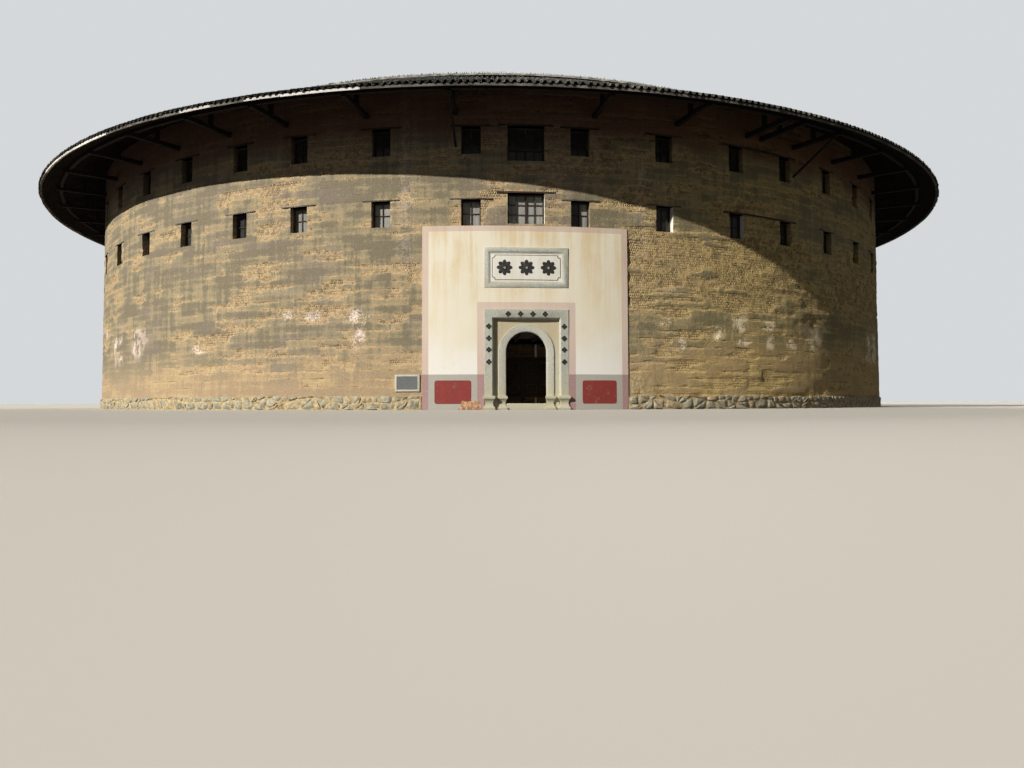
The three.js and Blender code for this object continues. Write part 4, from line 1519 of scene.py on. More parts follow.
    def ridge_mortar(self) -> Patch:
        """Lime mortar heaped along the ridge: a low rounded section whose sides are uneven."""
        angles = np.linspace(0, 360, 721)
        half = np.array(self.heap)
        offset, rise = np.concatenate([half, [(0, self.heap_top)], half[::-1] * [-1, 1]]).T[..., None]
        lumps = noise(angles / 360, np.arange(len(rise))[:, None] * 0.8, 900, 91) - 0.5
        points = polar(angles, self.ridge + offset + lumps * 0.03, float(self.top(self.ridge)) + rise + lumps * 0.035)
        return grid(points, places(np.radians(angles) * self.ridge, offset))

    def ridge_tiles(self) -> Patch:
        """Tiles stood on edge side by side along the ridge, leaning and uneven."""
        count = self.ridge_tile_count
        rng = np.random.default_rng(97)
        angles = (np.arange(count) + rng.uniform(-0.3, 0.3, count)) * 360 / count
        lean = rng.uniform(-0.05, 0.12, count)
        start = polar(angles, self.ridge, float(self.top(self.ridge)) + 0.02)
        end = polar(angles + lean, self.ridge, self.ridge_top - rng.uniform(0, 0.05, count))
        return bars(start, end, polar(angles, 1, 0), 0.3, 0.016, 0.0, seed=98)

    def build(self) -> None:
        """Builds the roof's pieces, the tiles and boards by quarters as in the frame."""
        for start, quarter in enumerate(("front_right", "back_right", "back_left", "front_left")):
            start *= 90.0
            for slope in Slope:
                node = (f"roof_{slope.value}_{quarter}",)
                publish(f"tiles_{slope.value}_{quarter}", self.tiles(slope, start), (Finish.TILE,), node, crease=60)
                under = merge(self.boards(slope, start), self.rafters(slope, start))
                publish(f"rafters_{slope.value}_{quarter}", under, (Finish.BOARDS,), node)
            finishes, node = (Finish.SILVERED, Finish.PALE_TIMBER), (f"roof_outer_{quarter}",)
            publish(f"fascia_{quarter}", self.fascia(start), finishes, node)
        publish("ridge_mortar", self.ridge_mortar(), (Finish.RIDGE,), ("roof_ridge",), crease=60)
        publish("ridge_tiles", self.ridge_tiles(), (Finish.RIDGE,), ("roof_ridge",))


@dataclass
class Windows:
    """Frames, bars, panes and lintel boards of both rows of windows, set back in the wall."""

    plan: WindowPlan
    wall: EarthWall
    set_back: float = 0.32
    frame: float = 0.07
    bar: float = 0.032
    rebate: float = 0.04
    lintel_turn: float = 1.85
    middle_lintel_turn: float = 2.75
    shared_lintel: Pair = (25.3, 5.3)
    under_shared: Pair = (21.8, 28.75)
    pale_panes: tuple[tuple[float, Pair], ...] = (
        (-5.05, (0.95, 0.95)), (-13.45, (1.0, 1.0)), (-21.8, (0.75, 0.9)), (5.05, (0.12, 0.95)), (21.8, (0.16, 0.16)),
    )

    def grate(self, half: float, low: float, high: float, columns: int, rows: int, face: float) -> Patch:
        """One window's joinery at the gate: four frame members and a lattice of bars."""
        y, edge = -face + self.set_back, self.frame / 2
        parts = []
        for count, ends, axis, (wide, thick) in (
            (columns, (-half, half), 0, (0.09, 0.04)), (rows, (low, high), 2, (0.088, 0.036)),
        ):
            marks = np.linspace(ends[0] + edge, ends[1] - edge, count + 1)
            stout = np.isin(np.arange(count + 1), [0, count])
            stout[count // 2] |= axis == 0 and count % 2 == 0 and count > 2
            if axis == 0:
                start, end = (places(marks, y, z) for z in (low + 0.002, high - 0.002))
            else:
                start, end = (places(x, y, marks) for x in (0.002 - half, half - 0.002))
            width, depth = np.where(stout, self.frame, self.bar), np.where(stout, wide, thick)
            parts.append(bars(start, end, np.eye(3)[axis], width, depth, 0.005))
        return merge(*parts)

    def pane(self, left: float, right: float, low: float, high: float, face: float) -> Patch:
        """One sheet of glass at the gate, slightly bowed, behind the bars."""
        x, z = np.meshgrid(np.linspace(left, right, 3), np.linspace(low, high, 3))
        bow = 0.006 * (1 - ((x - (left + right) / 2) / (right - left) * 2) ** 2)
        points = places(x, -face + self.set_back + 0.03 + bow, z)
        return merge(*(grid(sheet, sheet[..., [0, 2]]) for sheet in (points, points[:, ::-1] + [0, 0.012, 0])))

    def lintel(self, angle: float, half_turn: float, high: float, tone: float, finish: int) -> Patch:
        """A thin board laid in the wall over a window, let in past both sides of it."""
        face, top = float(self.wall.plain(high)) + 0.04, high + (0.055 if finish else 0.075)
        profile = np.array([(face, high), (face, top), (face - 0.4, top), (face - 0.4, high)])
        return ring_beam(angle - half_turn, angle + half_turn, profile, 4, finish, tone)

    def build(self) -> None:
        """Builds the joinery, panes and lintels of both rows."""
        plan, angles, rebate = self.plan, self.plan.angles(), self.rebate
        rng = np.random.default_rng(5)
        half, wide = plan.width / 2, plan.middle_width / 2
        for storey, (low, high), (mid_low, mid_high), pale_share, dark, centre in (
            ("third", plan.third, plan.middle_third, 0.16, 0.06, 0.95),
            ("fourth", plan.fourth, plan.middle_fourth, 0.06, 0.04, 0.05),
        ):
            third = storey == "third"
            face = float(self.wall.plain(low))
            frames = turned(self.grate(half, low, high, 2, 2, face), angles, rng.random(len(angles)))
            middle = self.grate(wide, mid_low, mid_high, 4, 3, face)
            publish(f"window_frames_{storey}", merge(frames, middle), (Finish.TIMBER,))
            pale = np.where(rng.random((len(angles), 2)) < pale_share, 0.8, 0.05)
            pale[np.abs(angles) < 60] = dark
            for angle, tones in self.pale_panes if third else ():
                pale[np.argmin(np.abs(angles - angle))] = tones
            panes = [
                turned(self.pane(left, right, foot + rebate, head - rebate, face), around, np.array(tones))
                for left, right, foot, head, around, tones in (
                    (rebate - half, 0, low, high, angles, pale[:, 0]),
                    (0, half - rebate, low, high, angles, pale[:, 1]),
                    (rebate - wide, wide - rebate, mid_low, mid_high, [0], [centre]),
                )
            ]
            publish(f"window_panes_{storey}", merge(*panes), (Finish.GLASS,))
            spans = [(float(a), self.lintel_turn) for a in angles if round(float(a), 2) not in self.under_shared]
            boards = [
                self.lintel(
                    a, turn * rng.uniform(0.92, 1.08), high if a else mid_high, rng.random(), int(third and turn < 2)
                )
                for a, turn in [*spans, (0.0, self.middle_lintel_turn), self.shared_lintel]
            ]
            publish(f"window_lintels_{storey}", merge(*boards), (Finish.TIMBER, Finish.SILVERED))


@dataclass
class Galleries:
    """Floors, posts and beams that the frame gives, with joists and a railing round the courtyard."""

    upper_floors: tuple[float, ...] = (4.0, 7.3, 10.6)
    slab: float = 0.22
    radius: float = 21.5
    court: float = 21.0
    wall: float = 27.2
    bays: int = 36
    first_post: float = 5.0
    balusters: int = 13

    def railings(self) -> Patch:
        """Three rails and a row of balusters in each bay of the upper storeys."""
        bay = 360 / self.bays
        first = np.tile(self.first_post + np.arange(self.bays) * bay, len(self.upper_floors))
        storey = np.repeat(np.array(self.upper_floors), self.bays)
        out = polar((first + first + bay) / 2, 1, 0)
        parts = []
        for rise, width, depth in ((0.95, 0.09, 0.07), (0.62, 0.05, 0.05), (0.14, 0.07, 0.06)):
            start, end = (polar(angle, self.radius, storey + rise) for angle in (first, first + bay))
            parts.append(bars(start, end, out, width, depth, 0.008, seed=int(rise * 100)))
        share = (np.arange(self.balusters) + 1)[:, None, None] / (self.balusters + 1)
        start, end = (polar(angle, self.radius, storey + 0.15) for angle in (first, first + bay))
        foot = (start * (1 - share) + end * share).reshape(-1, 3)
        parts.append(bars(foot, foot + [0, 0, 0.78], np.tile(out, (self.balusters, 1)), 0.035, 0.035, 0.0, seed=9))
        return merge(*parts)

    def joists(self) -> Patch:
        """A main beam from each post to the wall and three joists between, under every upper floor."""
        number = np.arange(self.bays * 4)
        angles = self.first_post + number * 360 / len(number)
        width, depth = (np.where(number % 4 == 0, *sizes) for sizes in ((0.18, 0.1), (0.24, 0.14)))
        parts = []
        for floor in self.upper_floors:
            height = floor - self.slab - 0.002 - depth / 2
            ends = (polar(angles, radius, height) for radius in (self.radius + 0.14, self.wall))
            parts.append(bars(*ends, polar(angles + 90, 1, 0), width, depth, 0.01, seed=int(floor * 10)))
        return merge(*parts)

    def floor_edges(self) -> Patch:
        """A plain board round the court edge of each upper floor."""
        near, far = self.court + 0.002, self.court - 0.03
        angles = np.linspace(0, 360, self.bays + 1)
        parts = []
        for floor in self.upper_floors:
            foot, top = floor - self.slab - 0.04, floor + 0.012
            profile = np.array([(near, foot), (near, top), (far, top), (far, foot)])
            for i, (a, b) in enumerate(zip(angles[:-1], angles[1:])):
                parts.append(ring_beam(a + 0.02, b - 0.02, profile, 2, tone=(i * 7 % 10) / 10))
        return merge(*parts)

    def build(self, nodes: dict[str, bpy.types.Object]) -> None:
        """Builds the railings, joists and floor edges, and dresses the frame's floors and timbers."""
        publish("gallery_railings", self.railings(), (Finish.TIMBER,))
        publish("floor_joists", self.joists(), (Finish.TIMBER,))
        publish("floor_edge_boards", self.floor_edges(), (Finish.TIMBER,))
        dress(nodes, Finish.FLOOR, "floor_")
        dress(nodes, Finish.SOLID_TIMBER, "gallery_", "eave_")


def moulded_block(across: Pair, front: float, back: float, profile: Sequence[Pair]) -> Patch:
    """A block whose left, front and right sides follow one upright profile, with a flat top.

    Args:
        across: Left and right x of the body.
        front: Front y of the body.
        back: Back y.
        profile: (k, 2) height and how far the three sides stand out there, from the foot up.

    Returns:
        The patch.
    """
    height, out = np.array(profile).T[..., None]
    left, right = across
    x = np.concatenate([left - out, left - out, right + out, right + out], axis=1)
    y = np.concatenate([np.full(out.shape, back), front - out, front - out, np.full(out.shape, back)], axis=1)
    points = places(x, y, height)
    girth = np.cumsum([0, back - front, right - left, back - front])
    top, rear = points[-1, [1, 2, 3, 0]], np.concatenate([points[:, 3], points[::-1, 0]])
    body = grid(points, places(girth, walked(np.array(profile))[:, None]))
    return merge(body, cap(top, top[:, :2]), cap(rear, rear[:, [0, 2]]))


def upright(x: Array, y: Array | float, z: Array, finish: int = 0) -> Patch:
    """A grid of points in or near an upright plane at the gate, unrolled by x and z."""
    points = places(x, y, z)
    return grid(points, points[..., [0, 2]], finish)


def rosette(x: float, z: float, y: float, radius: float, petals: int, finish: int = 0) -> Patch:
    """A carved flower, flat on the wall: petals round a button, 20 mm deep.

    The outline is radius times 0.7 + 0.3|cos(petals a / 2)|, and the relief falls to nothing at the edge
    and between the petals.
    """
    rings = np.array([1.0, 0.97, 0.8, 0.55, 0.34, 0.3, 0.16, 0.001])
    around, out = np.meshgrid(np.linspace(0, 2 * np.pi, petals * 6 + 1), rings)
    lobes = np.abs(np.cos(around * petals / 2))
    reach = radius * out * (1 - (0.3 - 0.3 * lobes) * ramp(out, 0.3, 0.6))
    rise = 0.35 + 0.45 * lobes * ramp(out, 0.3, 0.5) + 0.6 * ramp(out, 0.34, 0.26)
    rise = 0.02 * np.where(out >= 0.999, 0, rise)
    return upright(x + reach * np.cos(around), y - rise, z + reach * np.sin(around), finish)


def notched_plate(
    half_width: float, low: float, high: float, notch: float, front: float, thick: float, finish: int
) -> Patch:
    """A thin flat plate with square corners, or hollow ones.

    At x the edges of a hollow corner are drawn in by √(notch² - (half width - |x|)²).
    """
    turn = np.linspace(0, np.pi / 2, 7) if notch > 0 else np.array([np.pi / 2])
    end, cut = half_width - notch * np.sin(turn), notch * np.cos(turn)
    flat = np.linspace(-end[-1], end[-1], 17)[1:-1]
    x, cut = np.concatenate([-end, flat, end[::-1]]), np.concatenate([cut, 0 * flat, cut[::-1]])
    face = np.stack([places(x, front, low + cut), places(x, front, high - cut)])
    rim = np.concatenate([face[0], face[1, ::-1], face[0, :1]]).T
    return merge(upright(*face.transpose(2, 0, 1), finish), upright(rim[0], rim[1] + [[thick], [0]], rim[2], finish))


def bowed(patch: Patch) -> Patch:
    """Bends a flat patch at the gate along the wall: y grows by x²/2R, with R the wall's radius."""
    patch.points[:, 1] += patch.points[:, 0] ** 2 / (2 * WALL_RADIUS)
    return patch


@dataclass
class Gate:
    """The plastered panel, the stone portal with its arch, the name plate left bare, and the wall plate."""

    wall: EarthWall
    panel_angle: float = 9.5
    panel_height: float = 8.35
    panel_proud: float = 0.06
    dado: float = 1.6
    border: Pair = (4.44, 8.1)
    strip: Pair = (2.24, 4.87)
    opening: Pair = (1.5, 4.11)
    portal: Pair = (1.92, 4.55)
    portal_front: float = -28.65
    arch_front: float = -28.42
    arch_back: float = -28.15
    arch_half: float = 0.93
    spring: float = 2.62
    band: float = 0.33
    plaque: Triple = (1.915, 5.53, 7.36)
    plaque_border: float = 0.27
    red_panels: tuple[tuple[float, float, float, float], ...] = ((-4.16, -2.51, 0.27, 1.33), (2.55, 4.16, 0.27, 1.33))
    pedestal_spans: tuple[Triple, ...] = ((1.5, 1.92, -28.68), (0.93, 1.26, -28.53))
    doorstep: Triple = (-0.925, 0.925, -28.5)
    plate: tuple[float, float, float, float] = (-10.85, 1.15, 0.83, 1.6)
    plate_face: float = -28.66
    plate_border: float = 0.09
    screen: float = -26.56

    def panel_face(self, angle: Array, height: Array) -> Array:
        """Radius of the plaster, which follows the wall and is trowelled a little uneven."""
        uneven = noise(turns(angle), np.asarray(height, float) / 1.2, 150, 51) - 0.5
        return self.wall.plain(height) + self.panel_proud - 0.004 + uneven * 0.012

    def bands(self, angle: Array, height: Array) -> Array:
        """Finish number of each part of the panel, by distance from the door's axis and height."""
        x = np.abs(PLASTER_RADIUS * np.sin(np.radians(angle)))
        finish = np.zeros(x.shape, int)
        for number, chosen in (
            (1, (x > self.border[0]) | (height > self.border[1])),
            (2, height < self.dado),
            (1, (x < self.strip[0]) & (height < self.strip[1])),
            (3, (height < self.dado) & ((x > self.border[0]) | (x < self.strip[0]))),
        ):
            finish[chosen] = number
        return finish

    def panel(self) -> Patch:
        """The panel with its limewashed field, borders and dado."""
        turn = [math.degrees(math.asin(v / PLASTER_RADIUS)) for v in (self.border[0], self.strip[0])]
        return Shell(
            -self.panel_angle, self.panel_angle, 0.0, (self.panel_height, self.panel_height), self.panel_face,
            lambda height: self.wall.plain(height) + 0.001,
            [Hole(0, self.portal[0], 0, self.portal[1]), Hole(0, *self.plaque)], (0.3, 0.25, 1.0),
            extra=([-turn[0], turn[0], -turn[1], turn[1]], [self.dado, self.strip[1], self.border[1]]),
            finish=self.bands,
        ).build()

    def red_rectangle(self, left: float, right: float, low: float, high: float, corner: float = 0.1) -> Patch:
        """A painted rectangle with round corners on the dado, where a square grid's corners are drawn on to circles."""
        w, h = (right - left) / 2, (high - low) / 2
        edge = np.array([0.0, 0.35, 0.7, 1.0]) * corner
        x, z = np.meshgrid(*(
            np.concatenate([edge - half, np.linspace(corner - half, half - corner, count)[1:-1], (half - edge)[::-1]])
            for half, count in ((w, 9), (h, 6))
        ))
        dx, dz = (np.clip(np.abs(v) - (half - corner), 0, None) for v, half in ((x, w), (z, h)))
        shrink = np.maximum(dx, dz) / np.maximum(np.hypot(dx, dz), EDGE_LIMIT)
        rounded = (dx > 0) & (dz > 0)
        x = np.where(rounded, np.sign(x) * (w - corner + dx * shrink), x) + (left + right) / 2
        z = np.where(rounded, np.sign(z) * (h - corner + dz * shrink), z) + (low + high) / 2
        angle = np.degrees(np.arcsin(x / PLASTER_RADIUS))
        return grid(polar(angle, self.panel_face(angle, z) + 0.004, z), places(x, z))

    def level_run(self, half: float, height: float, lift: float) -> tuple[Array, Array]:
        """Nine points of a level side from left to right, with their outward steps, mitred at both ends."""
        way = np.array([-1.0] + [0.0] * 7 + [1.0])
        return places(np.linspace(-half, half, len(way)), height), places(way, lift)

    def rectangle_path(self, half: float, low: float, high: float) -> tuple[Array, Array]:
        """A closed clockwise path round a rectangle, with its mitred outward steps."""
        upper, lower = self.level_run(half, high, 1), self.level_run(half, low, -1)
        starts = [(-half, low)], [(-1.0, -1.0)]
        path, steps = (np.concatenate([first, a, b[::-1]]) for first, a, b in zip(starts, upper, lower))
        return path, steps

    def portal_frame(self) -> Patch:
        """Jambs and lintel: one moulded section with a sunk field carried up, across and down."""
        half, top = self.opening
        run, steps = self.level_run(half, top, (self.portal[1] - top) / (self.portal[0] - half))
        path = np.concatenate([[(-half, 0.5)], run, [(half, 0.5)]])
        outward = np.concatenate([[(-1.0, 0.0)], steps, [(1.0, 0.0)]])
        back = self.arch_front - 0.001 - self.portal_front
        profile = np.array([
            (0, back), (0, 0.1), (0.012, 0.07), (0.04, 0.05), (0.05, 0.012), (0.065, 0), (0.408, 0), (0.42, 0.012),
            (0.42, back),
        ])
        return bowed(carried(path, outward, profile + [0, self.portal_front]))

    def rosettes(self) -> Patch:
        """Small carved flowers down the jambs and along the lintel."""
        spots = [(x, z) for x in (-1.715, 1.715) for z in (3.77, 3.23, 2.71, 2.16)]
        spots += [(x, 4.33) for x in (-0.84, -0.28, 0.28, 0.84)]
        return bowed(merge(*(rosette(x, z, self.portal_front + 0.002, 0.13, 4) for x, z in spots)))

    def pedestals(self) -> Patch:
        """Four carved pedestals: a plinth, a hollowed body and a cornice under each jamb and each end of the arch."""
        profile = (
            (0, 0.06), (0.09, 0.06), (0.1, 0.05), (0.12, 0.045), (0.15, 0.01), (0.2, -0.02), (0.3, -0.035),
            (0.4, -0.02), (0.45, 0.012), (0.47, 0.03), (0.49, 0.035), (0.5, 0.058), (0.6, 0.06), (0.63, 0.045),
        )
        return merge(*(
            moulded_block(tuple(sorted((side * near, side * far))), front, self.arch_front - 0.001, profile)
            for side in (-1, 1)
            for near, far, front in self.pedestal_spans
        ))

    def arch_path(self, foot: float = 0.6) -> tuple[Array, Array]:
        """Up the left side of the doorway, round the half circle and down the right side."""
        turn = np.linspace(np.pi, 0, 21)
        around = places(np.cos(turn), np.sin(turn))
        left = places(-self.arch_half, [foot, (foot + self.spring) / 2])
        path = np.concatenate([left, around * self.arch_half + [0, self.spring], (left * [-1, 1])[::-1]])
        return path, np.concatenate([[(-1.0, 0.0)] * 2, around, [(1.0, 0.0)] * 2])

    def archivolt(self) -> Patch:
        """The band round the doorway: a bead at each edge of a flat face, carried round the arch."""
        front = self.arch_front - 0.05
        profile = np.array([
            (0, self.arch_back - front), (0, 0.02), (0.01, 0.006), (0.03, 0), (0.285, 0), (0.29, 0.008), (0.3, 0.008),
            (0.305, 0), (0.32, 0), (self.band, 0.012), (self.band, self.arch_front + 0.02 - front),
        ])
        return carried(*self.arch_path(), profile + [0, front])

    def arch_wall(self) -> Patch:
        """The wall round the doorway: a fan of quads from the arch out to the portal, front and back."""
        path, outward = self.arch_path(foot=0.0)
        upright_side = outward[:, 1] < EDGE_LIMIT
        parts = []
        for start, half, top, y, way in (
            (self.band - 0.01, self.opening[0] + 0.01, self.opening[1] + 0.01, self.arch_front, 1),
            (0.0, self.portal[0] - 0.002, self.portal[1] - 0.002, self.arch_back, -1),
        ):
            inner = path + outward * start
            sideways, upward = np.maximum([np.abs(outward[:, 0]), outward[:, 1]], EDGE_LIMIT)
            reach = np.minimum(half / sideways, (top - self.spring) / upward)
            outer = outward * reach[:, None] + [0, self.spring]
            outer[upright_side, 1] = inner[upright_side, 1]
            share = np.linspace(0, 1, 4)[:, None, None]
            flat = (inner * (1 - share) + outer * share)[:, ::way]
            parts.append(upright(flat[..., 0], y, flat[..., 1], int(way < 0)))
        return merge(*parts)

    def threshold(self) -> Patch:
        """The doorstep, worn round along its front edge."""
        profile = ((0, 0), (0.24, 0), (0.27, -0.012), (0.285, -0.04), (0.29, -0.08))
        return moulded_block(self.doorstep[:2], self.doorstep[2], self.arch_back, profile)

    def repairs(self) -> Patch:
        """Rubble bared where the dado has broken away, and a patch of newer render on the wall, right of the panel.

        Both are grids on the wall whose edges wander: half width and height are scaled by 1 plus noise of
        the turn round the middle. The rubble narrows upwards by 1 - 0.24(t + 1), and its lumps rise by
        noise, to nothing at its edge.
        """
        parts = []
        s, t = np.meshgrid(np.linspace(-1, 1, 49), np.linspace(-1, 1, 25))
        turn, edge = np.arctan2(t, s) / (2 * np.pi) + 0.5, np.maximum(np.abs(s), np.abs(t))
        for finish, (left, right, low, high), seed, rough, loose, narrowing, face in (
            (0, (-6.5, -3.7, -0.22, 0.4), 3, 0.045, 0.24, 0.24, self.panel_face),
            (1, (9.8, 11.15, 0.74, 1.56), 5, 0.006, 0.08, 0, self.wall.face),
        ):
            wander = 1 + (noise(turn, 0 * turn, 24, seed) - 0.6) * loose * edge
            angle = (left + right) / 2 + s * (1 - narrowing * (t + 1)) * wander * (right - left) / 2
            height = np.clip((low + high) / 2 + t * wander * (high - low) / 2, 0.01, None)
            rise = rough * noise(turns(angle), height / 0.075, 2400, seed + 7) * ramp(1 - edge, 0, 0.3)
            points = polar(angle, face(angle, height) + 0.006 + rise, height)
            parts.append(grid(points, places(angle / 2, height), finish))
        return merge(*parts)

    def plaque_frame(self) -> Patch:
        """The moulded frame of the plate over the door."""
        half, low, high, border = *self.plaque, self.plaque_border
        profile = np.array([
            (0, -28.57), (0, -28.6), (0.02, -28.605), (0.05, -28.61), (0.06, -28.625), (0.08, -28.632),
            (0.255, -28.632), (border, -28.622), (border, -28.54),
        ])
        return bowed(carried(*self.rectangle_path(half - border, low + border, high - border), profile, closed=True))

    def plaque_field(self) -> Patch:
        """The plate's white field with a hollow-cornered line and three flowers."""
        half, low, high, border = *self.plaque, self.plaque_border
        inner, foot, head = half - border, low + border, high - border
        return bowed(merge(
            notched_plate(inner, foot, head, 0, -28.588, 0.03, 0),
            notched_plate(inner - 0.08, foot + 0.07, head - 0.07, 0.13, -28.592, 0.005, 1),
            notched_plate(inner - 0.11, foot + 0.1, head - 0.1, 0.13, -28.596, 0.005, 0),
            *(rosette(x, (foot + head) / 2, -28.596, 0.36, 8, 2) for x in (-1.0, 0.0, 1.0)),
        ))

    def wall_plate(self) -> Patch:
        """The small slate in a pale stone frame on the wall, left bare."""
        angle, width, low, high = self.plate
        border, face = self.plate_border, self.plate_face
        inside = width / 2 - border, low + border, high - border
        profile = np.array([(0, 0.04), (0, 0.01), (0.012, 0), (0.075, 0), (border, 0.012), (border, 0.12)]) + [0, face]
        frame = carried(*self.rectangle_path(*inside), profile, 1, closed=True)
        return turned(merge(notched_plate(*inside, 0, face + 0.02, 0.03, 0), frame), np.array([angle]))

    def screen_mouldings(self) -> Patch:
        """Thin square mouldings in two columns and three rows on each half of the screen inside the doorway."""
        half, tall = 0.22, 0.2
        ways = (-1, -1, 1, -1), (-1, 1, 1, 1), (-1, -1, -1, 1), (1, -1, 1, 1)
        centres = [(x, z) for x in (-1.03, -0.42, 0.42, 1.03) for z in (1.0, 1.52, 2.04)]
        ends = np.array([
            [(x + half * a, self.screen, z + tall * b), (x + half * c, self.screen, z + tall * d)]
            for x, z in centres for a, b, c, d in ways
        ])
        return bars(ends[:, 0], ends[:, 1], (0, 1, 0), 0.025, 0.025, 0.004)

    def build(self, nodes: dict[str, bpy.types.Object]) -> None:
        """Builds everything at the gate."""
        red = merge(*(self.red_rectangle(*sides) for sides in self.red_panels))
        frame = merge(self.portal_frame(), self.pedestals())
        washes = (Finish.CREAM, Finish.PINK, Finish.GREY, Finish.ROSE)
        stones, inks = ("portal_jamb_left", "portal_jamb_right", "portal_lintel"), (Finish.BROWN_LINE, Finish.INK)
        for name, patch, finishes, replaced, crease in (
            ("plaster_panel_face", self.panel(), washes, ("plaster_panel",), 40),
            ("dado_red_panels", red, (Finish.RED,), (), 40),
            ("portal_frame", frame, (Finish.GRANITE,), stones, 40),
            ("portal_rosettes", self.rosettes(), (Finish.INK,), (), 50),
            ("portal_arch_band", self.archivolt(), (Finish.PALE_STONE,), ("portal_archivolt",), 40),
            ("portal_arch_face", self.arch_wall(), (Finish.SPANDREL, Finish.GRANITE), ("portal_arch_wall",), 40),
            ("doorstep", self.threshold(), (Finish.PALE_STONE,), ("threshold",), 40),
            ("wall_repairs", self.repairs(), (Finish.RUBBLE, Finish.MORTAR), (), 70),
            ("name_plate_frame", self.plaque_frame(), (Finish.GRANITE,), ("plaque_frame",), 40),
            ("name_plate_field", self.plaque_field(), (Finish.WHITE, *inks), ("plaque_field",), 40),
            ("wall_plate_framed", self.wall_plate(), (Finish.SLATE, Finish.PALE_STONE), ("wall_plate",), 40),
            ("screen_mouldings", self.screen_mouldings(), (Finish.TIMBER,), (), 40),
        ):
            publish(name, patch, finishes, replaced, crease)
        dress(nodes, Finish.SOLID_TIMBER, "gate_screen")


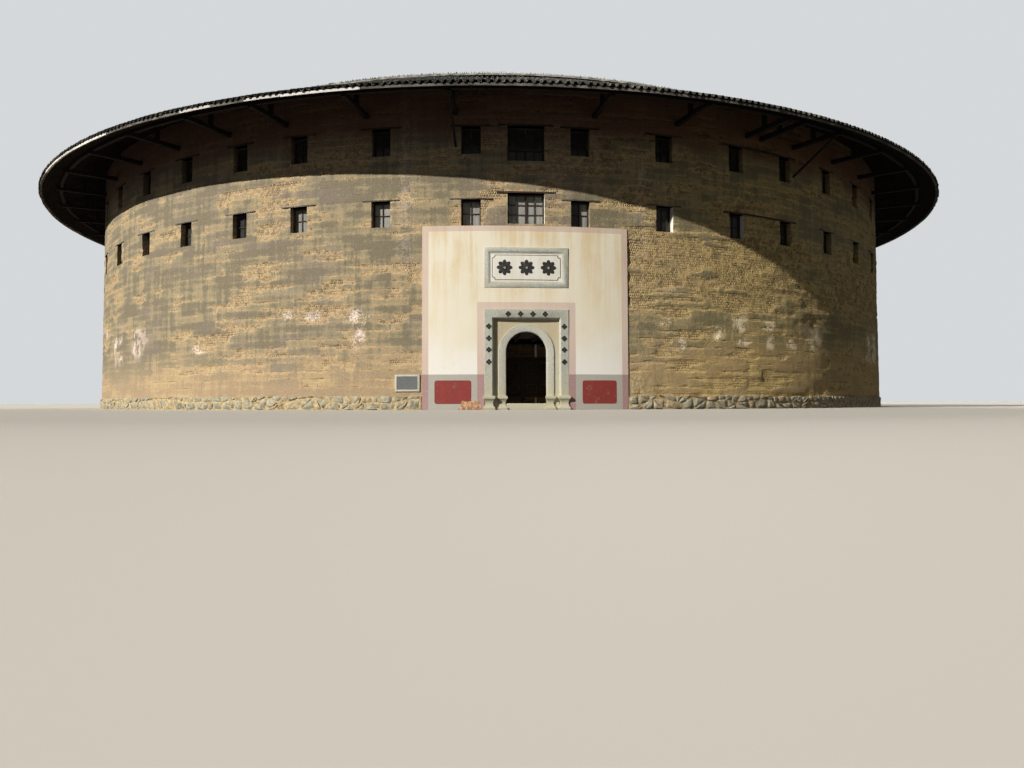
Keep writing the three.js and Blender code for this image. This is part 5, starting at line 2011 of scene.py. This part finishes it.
@dataclass
class Studio:
    """The camera at the photograph's place, a low soft sun from the left, pale fill and a plain pale floor."""

    place: Triple = (-3.16, -62.77, 0.32)
    yaw: float = 4.162
    tilt: float = 1.411
    roll: float = -0.143
    lens: float = 26.72
    sensor: float = 36.0
    sight: float = 2000.0
    sun_towards: Triple = (-0.7132, -0.5134, 0.4772)
    sun_strength: float = 5.0
    sun_colour: Triple = (1.0, 0.965, 0.91)
    back_towards: Triple = (0.2, 0.88, 0.45)
    sun_softness: float = 0.7
    back_strength: float = 2.2
    back_softness: float = 25.0
    sky: str = "#e9e7e3"
    fill: float = 0.14
    floor_half: float = 700.0
    floor_drop: float = 0.0015
    dome_radius: float = 600.0

    def hold(
        self, name: str, data: bpy.types.ID, axes: Sequence[Array], place: Array | Triple = (0, 0, 0)
    ) -> bpy.types.Object:
        """Adds a camera or lamp.

        Args:
            name: Its name.
            data: Blender's camera or lamp.
            axes: Where its own X, Y and Z point.
            place: Where it stands, in the model's metres.

        Returns:
            The object.
        """
        holder = bpy.data.objects.new(name, data)
        turn = np.eye(4)
        turn[:3] = np.stack([*axes, place], axis=1)
        holder.matrix_world = Matrix(turn.tolist())
        bpy.context.scene.collection.objects.link(holder)
        return holder

    def camera(self) -> None:
        """Adds the camera, turned by yaw, tilt and roll in that order."""
        yaw, tilt, roll = (math.radians(v) for v in (self.yaw, self.tilt, self.roll))
        forward = np.array([math.sin(yaw) * math.cos(tilt), math.cos(yaw) * math.cos(tilt), math.sin(tilt)])
        right = np.array([math.cos(yaw), -math.sin(yaw), 0.0])
        up = np.cross(right, forward)
        across, upward = right * math.cos(roll) + up * math.sin(roll), up * math.cos(roll) - right * math.sin(roll)
        camera = bpy.data.cameras.new("camera")
        camera.lens, camera.sensor_width, camera.clip_end = self.lens, self.sensor, self.sight
        place = np.array(self.place) * MODEL
        bpy.context.scene.camera = self.hold("camera", camera, (across, upward, -forward), place)

    def sun(self, name: str, towards: Triple, strength: float, softness: float) -> None:
        """Adds a sun lamp.

        Args:
            name: Its name.
            towards: Direction from the house to it.
            strength: Its strength.
            softness: Angle in degrees that it fills in the sky.
        """
        lamp = bpy.data.lights.new(name, "SUN")
        lamp.energy, lamp.angle, lamp.color = strength, math.radians(softness), self.sun_colour
        z = np.array(towards) / np.linalg.norm(towards)
        x = np.cross([0, 0, 1], z)
        x /= np.linalg.norm(x)
        self.hold(name, lamp, (x, np.cross(z, x), z))

    def surroundings(self) -> None:
        """Sets the pale light that comes from all round."""
        world = bpy.data.worlds.new("pale_surroundings")
        world.use_nodes = True
        background = world.node_tree.nodes["Background"]
        background.inputs["Color"].default_value = linear(self.sky)
        background.inputs["Strength"].default_value = self.fill
        bpy.context.scene.world = world

    def floor(self) -> Array:
        """A large plain plane just under the base."""
        corner = np.array([-1.0, 1.0]) * self.floor_half
        return places(*np.meshgrid(corner, corner), -self.floor_drop)

    def dome(self) -> Array:
        """A pale dome far round the house: radius times the sine and cosine of turn and height."""
        turn, lift = np.meshgrid(np.linspace(0, 2 * np.pi, 49), np.radians(np.linspace(89.5, -2, 17)))
        return places(np.cos(turn) * np.cos(lift), np.sin(turn) * np.cos(lift), np.sin(lift)) * self.dome_radius

    def stage(self, name: str, points: Array, coating: Coating) -> None:
        """Adds a surface of the studio that the camera sees and that neither lights nor shades the house."""
        patch = grid(points, points[..., :2])
        mesh = bpy.data.meshes.new(name)
        mesh.from_pydata(patch.points.tolist(), [], patch.corners.reshape(-1, 4).tolist())
        mesh.materials.append(coating.make(f"{name}_matt"))
        holder = bpy.data.objects.new(name, mesh)
        holder.visible_diffuse = holder.visible_glossy = holder.visible_shadow = False
        bpy.context.scene.collection.objects.link(holder)

    def build(self) -> None:
        """Sets up the view, a key light, a weak light from behind, the surroundings, the floor and the dome."""
        self.camera()
        self.sun("key_light", self.sun_towards, self.sun_strength, self.sun_softness)
        self.sun("back_light", self.back_towards, self.back_strength, self.back_softness)
        self.surroundings()
        self.stage("studio_floor", self.floor(), MattGround())
        self.stage("studio_backdrop", self.dome(), LitPaper())
        bpy.context.scene.view_settings.view_transform = "Standard"


def main() -> None:
    """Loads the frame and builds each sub-assembly in turn."""
    logging.basicConfig(level=logging.INFO, format="%(message)s")
    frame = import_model()
    Studio().build()
    plan = WindowPlan()
    wall = EarthWall(plan)
    wall.build()
    Footing(wall).build()
    TiledRoof().build()
    Windows(plan, wall).build()
    Galleries().build(frame["nodes"])
    Gate(wall).build(frame["nodes"])


if __name__ == "__main__":
    main()
